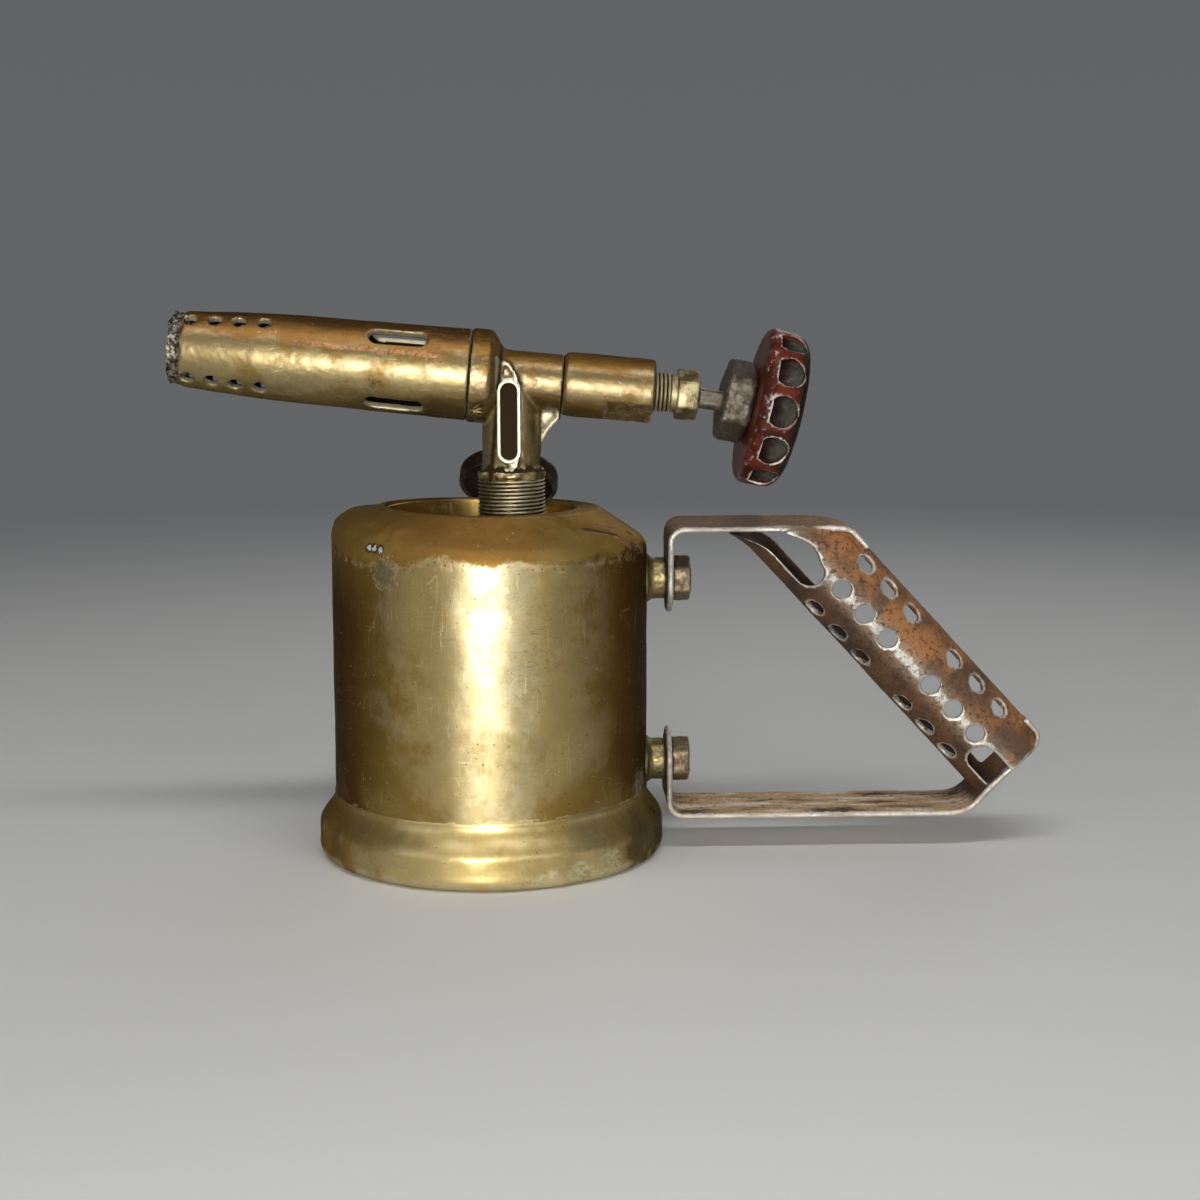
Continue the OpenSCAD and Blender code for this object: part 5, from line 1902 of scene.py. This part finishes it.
    def plaque(self) -> Piece:
        """Raised bare plaque with a border, on the stem's front.

        Returns:
            The plaque.
        """
        width, height = self.plaque_width, self.plaque_height
        face = self.stem / 2.0 + self.plaque_proud
        piece = Bench.bar("plaque", width, -face, face - 4.0, 48)
        Bench.place(piece, turned(-90.0, "X"))
        Bench.shift(piece, lambda point: point.z > 0.01, (0.0, 0.0, height - width))
        Bench.place(piece, moved(z=self.height - height + width / 2.0))
        front = min(point.co.y for point in piece.data.vertices) / MM
        Bench.sink(piece, lambda point: point.y < front + 0.01, self.border, 0.3, self.sink)
        bpy.ops.mesh.subdivide(number_cuts=1)
        Bench.close()
        Bench.bevel(piece, 0.16, 2, 25.0)
        Bench.place(piece, self.neck @ turned(self.plaque_turn, "Z"))
        Bench.mark_proud(piece, 2)
        field = self.stem / 2.0 + self.plaque_proud - self.sink / 2.0
        turn = math.radians(self.plaque_turn)
        centre = BURNER.translation.x / MM
        out = lambda p: -p[:, 1] * math.cos(turn) + (p[:, 0] - centre) * math.sin(turn)
        Bench.paint(piece, Mark.BARE_AND_GLINT, lambda p: 0.80 * (out(p) > field))
        Bench.paint(piece, Mark.GRIME_AND_SHADE, lambda p: 0.90 * (out(p) < field))
        return piece

    def neck_thread(self) -> Piece:
        """Helical neck thread that shows above the dish, with bright crests and dark roots.

        Returns:
            The thread.
        """
        start = self.bush_top - 2.0 * self.pitch
        turns = math.floor((self.thread_top - 1.2 - start) / self.pitch) - 1
        crest, depth = self.thread / 2.0, self.thread_depth
        piece = Bench.helix("neck_thread", crest, depth, self.pitch, start, turns)
        Bench.place(piece, self.neck)
        Bench.roughen(piece, 2.2, 0.30)
        centre = BURNER.translation.x / MM
        shares = lambda p: (np.hypot(p[:, 0] - centre, p[:, 1]) - (crest - depth)) / depth
        Bench.fill(piece, Mark.PROUD, 0.0)
        # Crests painted bright and roots dark, partly wear and soiling, partly painted highlight and shade; the
        # crests grow brighter toward the right.
        right_share = lambda p: ramp(p[:, 0] - centre + 9.0, 9.0)
        Bench.paint(piece, Mark.BARE_AND_GLINT, lambda p: (shares(p) - 0.2) * (0.50 + 0.80 * right_share(p)))
        Bench.paint(piece, Mark.GRIME_AND_SHADE, lambda p: 1.25 - 1.55 * shares(p))
        return piece

    def tube_radius(self, along: float) -> float:
        """Outside radius of the flame tube at a place along the burner.

        Args:
            along: the place.

        Returns:
            The radius.
        """
        rear, middle, mouth = self.tube_radii
        if along > self.nose:
            return middle + (rear - middle) * (along - self.nose) / (self.flange_front - self.nose)
        return mouth + (middle - mouth) * (along - self.mouth) / (self.nose - self.mouth)

    def flame_tube(self) -> None:
        """Tapered tube with its air holes and slots, a burnt lip and a bead of slag on top."""
        rear = self.flange_front - 0.05
        lip_radius = self.tube_radii[2] + self.lip
        stations = [rear, -40.0, self.nose + 7.0, self.nose + 2.0, self.nose - 3.0, self.nose - 9.0]
        bulge = {self.nose + 2.0: -0.10, self.nose - 3.0: -0.04}
        outer = [(self.tube_radius(u) + bulge.get(u, 0.0), u) for u in stations]
        outer.append((self.tube_radius(self.mouth + self.lip_length), self.mouth + self.lip_length))
        outline = outer + [(lip_radius, self.mouth + 1.2), (lip_radius, self.mouth + 0.2)]
        outline += [(self.tube_radii[2] - self.tube_wall, self.mouth)]
        outline += [(r - self.tube_wall, u) for r, u in reversed(outer)]
        outline.append(outline[0])
        piece = Bench.lathe("fire_tube", outline, 112)
        Bench.cut(piece, self.air_openings())
        bead = Bench.lathe("slag", [(0.0, -1.5), *arc((0.0, 0.0), 1.5, -60.0, 60.0, 5), (0.0, 1.5)], 16)
        top = (0.6 - self.tube_radii[2], 0.0, self.mouth + 1.6)
        piece = Bench.join([piece, Bench.place(bead, moved(*top))])
        Bench.skin(piece, 0.44, 3)
        burnt = lambda p: ramp(self.mouth + 4.8 - p[:, 2], 1.4)
        Bench.roughen(piece, 4.6, 1.3, burnt, 0.8)
        Bench.roughen(piece, 1.9, 1.2, burnt, 0.75)
        Bench.roughen(piece, 9.0, 0.25)
        Bench.roughen(piece, 1.4, 0.10)
        Bench.mark_proud(piece)
        sunk = lambda p: np.interp(p[:, 2], *self.skin_line()) - radius_of(p)
        cut = lambda p: (sunk(p) > 0.35) & (sunk(p) < self.tube_wall - 0.35) & (burnt(p) < 0.1)
        Bench.paint(piece, Mark.GRIME_AND_SHADE, lambda p: 1.0 * (sunk(p) > self.tube_wall - 0.35))
        Bench.paint(piece, Mark.BARE_AND_GLINT, lambda p: 1.0 * cut(p))
        Bench.place(piece, BURNER)
        dress(piece, BURNER_BRASS, "flame_tube")

    def skin_line(self) -> tuple[list[float], list[float]]:
        """Places along the tube, and its outside radius there."""
        places = [self.mouth, self.nose, self.flange_front]
        return places, [self.tube_radius(u) for u in places]

    def air_openings(self) -> Piece:
        """Cutter for the rows of round holes and the long slots.

        Returns:
            The cutter.
        """
        cutters = []
        holes = [self.mouth + self.hole_first + i * self.hole_pitch for i in range(self.hole_count)]
        slot_start = self.flange_front - self.slot_back - self.slot_length + self.slot_width / 2.0
        lay = turned(90.0, "Y")
        for row, along in itertools.product(self.hole_rows, holes):
            drill = Bench.bar("drill", self.hole, self.drill_start, self.drill_length, 24)
            cutters.append(Bench.place(drill, moved(z=along) @ turned(row, "Z") @ lay))
        for row in self.slot_rows:
            mill = Bench.bar("mill", self.slot_width, self.drill_start, self.drill_length, 24)
            Bench.shift(mill, lambda point: point.x < -0.01, (self.slot_width - self.slot_length, 0.0, 0.0))
            cutters.append(Bench.place(mill, moved(z=slot_start) @ turned(row, "Z") @ lay))
        return Bench.join(cutters)


@dataclass
class Valve:
    """Needle valve: sleeve, gland nut, spindle and handwheel, turned along the burner."""

    sleeve: float = 18.5
    sleeve_start: float = 14.95
    sleeve_end: float = 41.4
    flats: float = 15.6
    flats_turn: float = 0.576
    flats_start: float = 27.6
    flats_length: float = 14.5
    mill: float = 20.0
    gland_thread: float = 12.0
    gland_pitch: float = 1.2
    gland_depth: float = 0.72
    gland_inner: float = 35.9
    gland_bore: float = 6.16
    gland_hex: float = 13.0
    gland_hex_start: float = 48.0
    gland_hex_length: float = 6.4
    gland_collar: float = 2.0
    hub_hex: float = 22.0
    hub_start: float = 61.0
    hub_length: float = 8.95
    hub_round: float = 15.0
    hub_bore: float = 5.1
    wheel: float = 2.0 * RIM_RADIUS
    wheel_start: float = WHEEL_START
    wheel_thick: float = WHEEL_THICK
    wheel_rounds: Pair = (3.0, 6.0)
    hollow: float = 26.0
    hollow_depth: float = 4.0
    pockets: int = 12
    pocket: float = 8.8
    pocket_depth: float = 3.0
    pocket_flat: float = 3.2
    washer: float = 18.0
    washer_thick: float = 1.0
    nut_hex: float = 8.0
    nut_thick: float = 3.5
    end_thread: float = 4.6

    def build(self) -> None:
        """Models and dresses the valve's pieces."""
        self.housing()
        self.gland()
        self.hub()
        self.handwheel()
        self.fastening()
        self.spindle()
        coat("needle", PLAIN_STEEL)
        coat("packing_washer", FITTING_BRASS)
        coat("gland_packing", COTTON)

    def housing(self) -> None:
        """Turned sleeve with worn spanner flats underneath."""
        radius, start, end = self.sleeve / 2.0, self.sleeve_start, self.sleeve_end
        outline = [(0.0, start), (radius - 1.1, start), (radius - 0.25, start + 0.9), (radius, start + 2.4)]
        outline += [(radius, end - 0.6), (radius - 0.6, end), (0.0, end)]
        sleeve = Bench.lathe("valve_sleeve", outline, 112)
        for side in (-1.0, 1.0):
            mill = Bench.bar("mill", self.mill, self.flats_start, self.flats_length, 4)
            out = moved((self.flats + self.mill) / 2.0) @ turned(45.0, "Z")
            Bench.cut(sleeve, Bench.place(mill, Matrix.Rotation(side * self.flats_turn, 4, "Z") @ out))
        piece = Bench.skin(sleeve, 0.36, 3)
        Bench.roughen(piece, 6.0, 0.20)
        Bench.roughen(piece, 1.3, 0.08)
        Bench.mark_proud(piece)
        flat = lambda p: (radius_of(p) < radius - 0.12) & (p[:, 2] > self.flats_start)
        seam = lambda p: peak(p[:, 2] - start, 0.8)
        Bench.paint(piece, Mark.BARE_AND_GLINT, lambda p: 0.48 * flat(p) * (p[:, 0] > 0.0))
        Bench.paint(piece, Mark.GRIME_AND_SHADE, lambda p: 0.9 * seam(p))
        Bench.place(piece, BURNER)
        dress(piece, BURNER_BRASS, "valve_housing")

    def gland(self) -> None:
        """Gland nut: helical thread, plain neck and worn hexagon, bored for the spindle."""
        crest = self.gland_thread / 2.0
        root = crest - self.gland_depth
        bore = self.gland_bore / 2.0
        start, head = self.gland_inner, self.gland_hex_start
        collar = head - self.gland_collar
        hexagon = Bench.bar("gland_nut", self.gland_hex, head, self.gland_hex_length)
        Bench.cut(hexagon, Bench.bar("bore", self.gland_bore, start, 30.0, 32))
        Bench.bevel(hexagon, 0.7, 3)
        outline = [(bore, start), (root, start), (root, collar), (root + 0.15, collar + 0.5)]
        outline += [(root + 0.35, head + 0.2), (bore, head + 0.2), (bore, start)]
        shank = Bench.lathe("shank", outline, 96)
        turns = math.floor((collar - start) / self.gland_pitch)
        thread = Bench.helix("thread", crest, self.gland_depth, self.gland_pitch, start, turns)
        for part in (hexagon, shank):
            Bench.mark_proud(part, 2)
            Bench.fill(part, Mark.BARE_AND_GLINT, 0.0)
            Bench.paint(part, Mark.GRIME_AND_SHADE, lambda p: 0.55 * (radius_of(p) < root + 0.02))
        share = lambda p: (radius_of(p) - root) / self.gland_depth
        Bench.fill(thread, Mark.PROUD, 0.0)
        # Crests painted bright and roots dark, partly wear and soiling, partly painted highlight and shade.
        Bench.paint(thread, Mark.BARE_AND_GLINT, lambda p: 1.7 * share(p) - 0.1)
        Bench.paint(thread, Mark.GRIME_AND_SHADE, lambda p: 1.2 - 2.0 * share(p))
        piece = Bench.place(Bench.join([hexagon, shank, thread]), BURNER)
        dress(piece, GLAND_BRASS, "gland_screw", 40.0)

    def hub(self) -> None:
        """Six-sided metal hub with corners rounded by use."""
        hexagon = Bench.bar("wheel_hub", self.hub_hex, self.hub_start, self.hub_length)
        start, end = self.hub_start + 1.0, self.wheel_start + self.wheel_thick - self.hollow_depth
        shank = Bench.bar("hub_shank", self.hub_round, start, end - start, 64)
        Bench.bevel(hexagon, 1.7, 4)
        for form in (hexagon, shank):
            Bench.cut(form, Bench.bar("bore", self.hub_bore, self.hub_start - 1.0, 30.0, 4))
        piece = Bench.skin(Bench.join([hexagon, shank]), 0.42, 6)
        Bench.roughen(piece, 3.0, 0.7, level=0.8)
        Bench.mark_proud(piece)
        Bench.place(piece, WHEEL)
        dress(piece, DULL_STEEL, "handwheel_hub")

    def handwheel(self) -> None:
        """Moulded wheel with D-shaped grip pockets round its rim."""
        radius = self.wheel / 2.0
        start, end = self.wheel_start, self.wheel_start + self.wheel_thick
        inner, outer = self.wheel_rounds
        bore = self.hub_round / 2.0 + 0.05
        outline = [(bore, start)]
        outline += arc((radius - inner, start + inner), inner, -90.0, 0.0, 6)
        outline += arc((radius - outer, end - outer), outer, 0.0, 90.0, 9)
        outline += [(self.hollow / 2.0 + 1.0, end), (self.hollow / 2.0, end - self.hollow_depth)]
        outline += [(bore, end - self.hollow_depth), (bore, start)]
        piece = Bench.lathe("wheel_rim", outline, 144)
        Bench.cut(piece, self.pocket_cutters())
        Bench.skin(piece, 0.40, 2)
        Bench.roughen(piece, 2.4, 0.22)
        Bench.mark_proud(piece)
        Bench.place(piece, WHEEL)
        dress(piece, BAKELITE, "handwheel")

    def pocket_cutters(self) -> Piece:
        """Cutter for the ring of pockets, each straight on the hub's side.

        Returns:
            The cutter.
        """
        middle = self.wheel_start + self.wheel_thick / 2.0
        mill = Bench.bar("mill", self.pocket, 0.0, self.pocket_depth + 2.0, 32)
        Bench.open(mill)
        bpy.ops.mesh.bisect(
            plane_co=(self.pocket_flat * MM, 0, 0), plane_no=(1, 0, 0), use_fill=True, clear_outer=True
        )
        Bench.close()
        out = moved(self.wheel / 2.0 - self.pocket_depth, z=middle) @ turned(90.0, "Y")
        turns = [turned(360.0 * i / self.pockets, "Z") for i in range(self.pockets)]
        return Bench.copies(mill, [turn @ out for turn in turns])

    def fastening(self) -> None:
        """Washer and nut in the wheel's hollow."""
        seat = self.wheel_start + self.wheel_thick - self.hollow_depth + 0.05
        bore = self.end_thread / 2.0 + 0.05
        ring = [(bore, seat), (self.washer / 2.0, seat), (self.washer / 2.0, seat + self.washer_thick)]
        ring += [(bore, seat + self.washer_thick), (bore, seat)]
        washer = Bench.bevel(Bench.lathe("rim_washer", ring, 96), 0.25)
        nut = Bench.bar("rim_nut", self.nut_hex, seat + self.washer_thick + 0.05, self.nut_thick)
        Bench.cut(nut, Bench.bar("bore", 2.0 * bore, seat, 8.0, 32))
        Bench.bevel(nut, 0.4)
        for piece, node in ((washer, "handwheel_washer"), (nut, "handwheel_nut")):
            Bench.mark_proud(piece, 2)
            Bench.place(piece, WHEEL)
            dress(piece, DULL_STEEL, node, 40.0)

    def spindle(self) -> None:
        """Spindle, bent inside the hub."""
        piece = Bench.copy_solid("bent_spindle", "valve_spindle")
        reach = 30.0
        beyond = lambda p: ramp(Burner.along(p)[:, 2] - LEAN_START, reach)
        Bench.press(piece, -reach * math.tan(math.radians(LEAN)), beyond, "Z")
        Bench.mark_proud(piece, 1)
        dress(piece, PLAIN_STEEL, "valve_spindle", 30.0)


@dataclass
class Filler:
    """Filler on the back of the shoulder: bush, leather washer and dark domed cap."""

    bush: float = 15.6
    bore: float = 12.16
    rise: float = 6.0
    drop: float = 4.0
    cap: float = 31.0
    cap_start: float = 7.6
    side: float = 4.5
    dome: float = 5.0
    edge: float = 0.9
    thread: float = 12.0
    pitch: float = 1.5
    thread_depth: float = 0.9
    thread_length: float = 8.0

    def build(self) -> None:
        """Models and dresses the filler's pieces."""
        self.collar()
        self.dome_cap()
        coat("filler_washer", LEATHER)

    def collar(self) -> None:
        """Bush soldered into the shoulder, with a fillet of solder round it."""
        outer, inner, low = self.bush / 2.0, self.bore / 2.0, -self.drop
        outline = [(inner, low), (outer, low), (outer, 0.0), (outer + 1.1, 0.1), (outer + 0.35, 0.8)]
        outline += [(outer, 1.6), (outer, self.rise), (inner, self.rise), (inner, low)]
        piece = Bench.bevel(Bench.lathe("filler_collar", outline, 96), 0.25, 2, 40.0)
        Bench.mark_proud(piece, 2)
        Bench.place(piece, FILLER)
        dress(piece, FITTING_BRASS, "filler_bush", 40.0)

    def dome_cap(self) -> None:
        """Domed cap with a hollow underside and its thread."""
        radius, start = self.cap / 2.0, self.cap_start
        top = start + self.side
        root = self.thread / 2.0 - self.thread_depth
        low = start - self.thread_length
        outline = [(0.0, low), (root, low), (root, start + 0.3)]
        outline += [(self.bush / 2.0 + 0.6, start), (self.bush / 2.0 + 1.4, start + 1.0)]
        outline += [(radius - 2.2, start + 1.0), (radius - self.edge - 0.5, start)]
        outline += arc((radius - self.edge, start + self.edge), self.edge, -90.0, 0.0, 4)
        outline += line((radius, start + self.edge + 0.4), (radius, top), 1.0)
        outline += [
            (radius * math.cos(math.radians(9.0 * i)), top + self.dome * math.sin(math.radians(9.0 * i)))
            for i in range(1, 11)
        ]
        body = Bench.lathe("filler_dome", outline, 128)
        turns = math.floor(self.thread_length / self.pitch) - 1
        thread = Bench.helix("thread", self.thread / 2.0, self.thread_depth, self.pitch, low, turns)
        piece = Bench.join([body, thread])
        Bench.roughen(piece, 5.0, 0.25, lambda p: 1.0 * (p[:, 2] > start + 1.2))
        Bench.mark_proud(piece, 3)
        Bench.place(piece, FILLER)
        dress(piece, DARK_BRASS, "filler_cap", 50.0)


@dataclass
class Handle:
    """Pierced sheet-steel handle, its wall bosses and its bolts."""

    bolt_heights: Pair = (25.5, 80.0)
    boss: float = 12.2
    boss_fillet: float = 1.7
    boss_end: float = 51.6
    head: float = 12.0
    head_start: float = 53.3
    head_length: float = 5.4
    shank: float = 6.0
    flare: float = 8.5
    flare_foot: float = 88.0
    flare_start: float = 66.0
    flare_end: float = 104.0
    strap_under: float = 95.0
    strap_half: float = 10.0
    strap_twist: float = 0.85
    strap_sag: float = 0.9
    strap_over: float = 14.0
    strap_ends: Pair = (106.0, 150.0)
    grip_middle: float = 50.0

    def build(self) -> None:
        """Models and dresses the handle's pieces."""
        self.stamping()
        self.bosses()
        self.bolts()

    def stamping(self) -> None:
        """Strap and pierced grip in one sheet, its edges rounded and its skin pitted by rust."""
        piece = Bench.copy_solid("grip_stamping", "handle")
        Bench.skin(piece, 0.53, 3)
        Bench.press(piece, -self.flare, self.flared, "X")
        for side in (-1.0, 1.0):
            edge = lambda p: self.on_straps(p) * ramp(side * p[:, 1], self.strap_half)
            Bench.press(piece, side * self.strap_twist, edge, "Z")
        lower = lambda p: self.on_straps(p) * (p[:, 2] < self.grip_middle)
        Bench.press(piece, -self.strap_sag, lower, "Z")
        Bench.roughen(piece, 1.7, 0.20)
        Bench.roughen(piece, 18.0, 0.5)
        Bench.mark_proud(piece, 5)
        dress(piece, RUSTY_STEEL, "handle")

    def flared(self, points: Array) -> Array:
        """Share of each point in the flare where the grip's inner edge runs into the upper strap.

        Args:
            points: rows of millimetres.

        Returns:
            The shares.
        """
        x, _, z = points.T
        rise = ramp(z - self.flare_foot, self.strap_under - self.flare_foot)
        inner = ramp(self.flare_end - x, 14.0) * ramp(x - self.flare_start, 12.0)
        return rise**2.4 * inner

    def on_straps(self, points: Array) -> Array:
        """Share of each point in the two straps, which are twisted a little towards the front.

        Args:
            points: rows of millimetres.

        Returns:
            The shares.
        """
        x, _, z = points.T
        upper = ramp(z - self.strap_under + 8.0, 8.0) * ramp(self.strap_ends[0] - x, 12.0)
        lower = ramp(self.strap_over + 6.0 - z, 6.0) * ramp(self.strap_ends[1] - x, 14.0)
        return np.maximum(upper, lower)

    def at_bolts(self) -> list[Matrix]:
        """Place of each bolt, with Z pointing away from the tank."""
        return [moved(z=height) @ turned(90.0, "Y") for height in self.bolt_heights]

    def bosses(self) -> None:
        """Brass bosses with a fillet of solder on the wall."""
        wall = box_mm("tank_shell")[1].x
        radius = self.boss / 2.0
        fillet = self.boss_fillet
        outline = [(0.0, wall - 1.2), (radius + fillet, wall - 1.2)]
        outline += [(radius + fillet * 0.8, wall - 0.2), (radius + fillet * 0.3, wall + 0.7)]
        outline += [(radius, wall + 1.8), (radius, self.boss_end - 0.4), (radius - 0.4, self.boss_end)]
        outline += [(0.0, self.boss_end)]
        piece = Bench.copies(Bench.lathe("wall_bosses", outline, 64), self.at_bolts())
        Bench.skin(piece, 0.34, 2)
        Bench.roughen(piece, 2.2, 0.45)
        Bench.mark_proud(piece, 4)
        dress(piece, FITTING_BRASS, "handle_bosses")

    def bolts(self) -> None:
        """Hexagon bolts with worn heads."""
        head = Bench.bar("hex_bolts", self.head, self.head_start, self.head_length)
        Bench.bevel(head, 0.75, 3)
        start = self.boss_end - 4.0
        shank = Bench.bar("shank", self.shank, start, self.head_start - start + 0.4, 32)
        piece = Bench.copies(Bench.join([head, shank]), self.at_bolts())
        Bench.skin(piece, 0.36, 1)
        Bench.roughen(piece, 2.0, 0.35)
        Bench.mark_proud(piece, 4)
        dress(piece, BOLT_STEEL, "handle_bolts")


@dataclass(frozen=True)
class Softbox:
    """Rectangular lamp: where it hangs, what it faces, its size in metres and its power in watts."""

    name: str
    at: Colour
    size: Pair
    power: float
    colour: Colour = (1.0, 1.0, 1.0)
    aim: Colour = (0.02, 0.0, 0.08)


@dataclass
class Studio:
    """Pale floor, soft lamps and the camera at the photograph's place."""

    lens: float = 54.0
    sensor: float = 36.0
    camera_at: Colour = (9.37, -524.73, 150.09)
    pitch: float = 8.3
    azimuth: float = -2.5
    floor_colour: Colour = (0.74, 0.74, 0.72)
    floor_size: float = 8.0
    fade: Pair = (260.0, 1200.0)
    front_fade: Pair = (-270.0, -460.0)
    horizon: Colour = (0.125, 0.128, 0.132)
    zenith: Colour = (0.080, 0.082, 0.085)
    dusk: Pair = (0.05, 0.75)
    lamps: tuple[Softbox, ...] = (
        Softbox("key", (-0.038, -0.68, 0.11), (0.175, 0.24), 2.9, (1.0, 0.985, 0.95)),
        Softbox("side", (0.42, -0.75, 0.28), (0.34, 0.34), 0.75),
        Softbox("fill", (-0.95, -0.85, 0.55), (0.80, 0.80), 1.8),
        Softbox("strip", (0.05, -0.42, 1.08), (1.00, 0.14), 4.0),
        Softbox("back", (0.60, 1.10, 0.75), (0.90, 0.60), 2.2),
    )

    def build(self) -> None:
        """Makes the floor, the sky, the lamps and the camera."""
        self.floor()
        self.sky()
        for lamp in self.lamps:
            self.hang(lamp)
        self.camera()

    def floor(self) -> None:
        """Plain pale floor that fades into the sky."""
        Bench.clear()
        bpy.ops.mesh.primitive_circle_add(vertices=96, radius=self.floor_size / 2.0, fill_type="NGON")
        piece = bpy.context.object
        piece.name = "floor"
        bpy.ops.object.mode_set(mode="EDIT")
        bpy.ops.mesh.inset(thickness=self.floor_size / 4.0)
        Bench.close()
        material = bpy.data.materials.new("pale_floor")
        g = Graph(material)
        g.set("Base Color", self.floor_colour)
        g.set("Roughness", 0.85)
        x, y, _ = g.local(UPRIGHT)
        gone = g.either(g.band(g.radius(x, y), *self.fade), g.band(y, *self.front_fade))
        clear = g.add("ShaderNodeBsdfTransparent", {})
        fade = g.add("ShaderNodeMixShader", {0: gone, 1: g.shader.outputs[0], 2: clear.outputs[0]})
        g.put(g.tree.nodes["Material Output"].inputs["Surface"], fade.outputs[0])
        piece.data.materials.append(material)

    def sky(self) -> None:
        """Soft even light from all round, paler at the horizon than above."""
        world = bpy.data.worlds.new("studio")
        bpy.context.scene.world = world
        g = Graph(world)
        way = g.add("ShaderNodeTexCoord", {}).outputs["Generated"]
        up = g.add("ShaderNodeSeparateXYZ", {0: way}).outputs[2]
        colour = g.mix(g.band(up, *self.dusk), self.horizon, self.zenith)
        g.put(g.tree.nodes["Background"].inputs["Color"], colour)

    @staticmethod
    def hang(lamp: Softbox) -> None:
        """Hangs one softbox and turns it to what it lights.

        Args:
            lamp: the softbox.
        """
        data = bpy.data.lights.new(lamp.name, "AREA")
        data.shape = "RECTANGLE"
        data.size, data.size_y = lamp.size
        data.energy = lamp.power
        data.color = lamp.colour
        light = bpy.data.objects.new(lamp.name, data)
        bpy.context.scene.collection.objects.link(light)
        light.location = lamp.at
        light.visible_camera = False
        light.rotation_euler = (Vector(lamp.aim) - Vector(lamp.at)).to_track_quat("-Z", "Y").to_euler()

    def camera(self) -> None:
        """Camera at the photograph's viewing angle."""
        data = bpy.data.cameras.new("photograph")
        data.lens = self.lens
        data.sensor_width = self.sensor
        camera = bpy.data.objects.new("photograph", data)
        bpy.context.scene.collection.objects.link(camera)
        camera.location = Vector(self.camera_at) * MM
        camera.rotation_euler = (math.radians(90.0 - self.pitch), 0.0, math.radians(self.azimuth))
        bpy.context.scene.camera = camera


def main() -> None:
    """Builds the studio and the lamp's sub-assemblies in order."""
    logging.basicConfig(level=logging.INFO, format="%(name)s: %(message)s")
    bpy.context.scene.view_settings.view_transform = "Standard"
    Studio().build()
    for assembly in (Tank(), Burner(), Valve(), Filler(), Handle()):
        assembly.build()


if __name__ == "__main__":
    main()
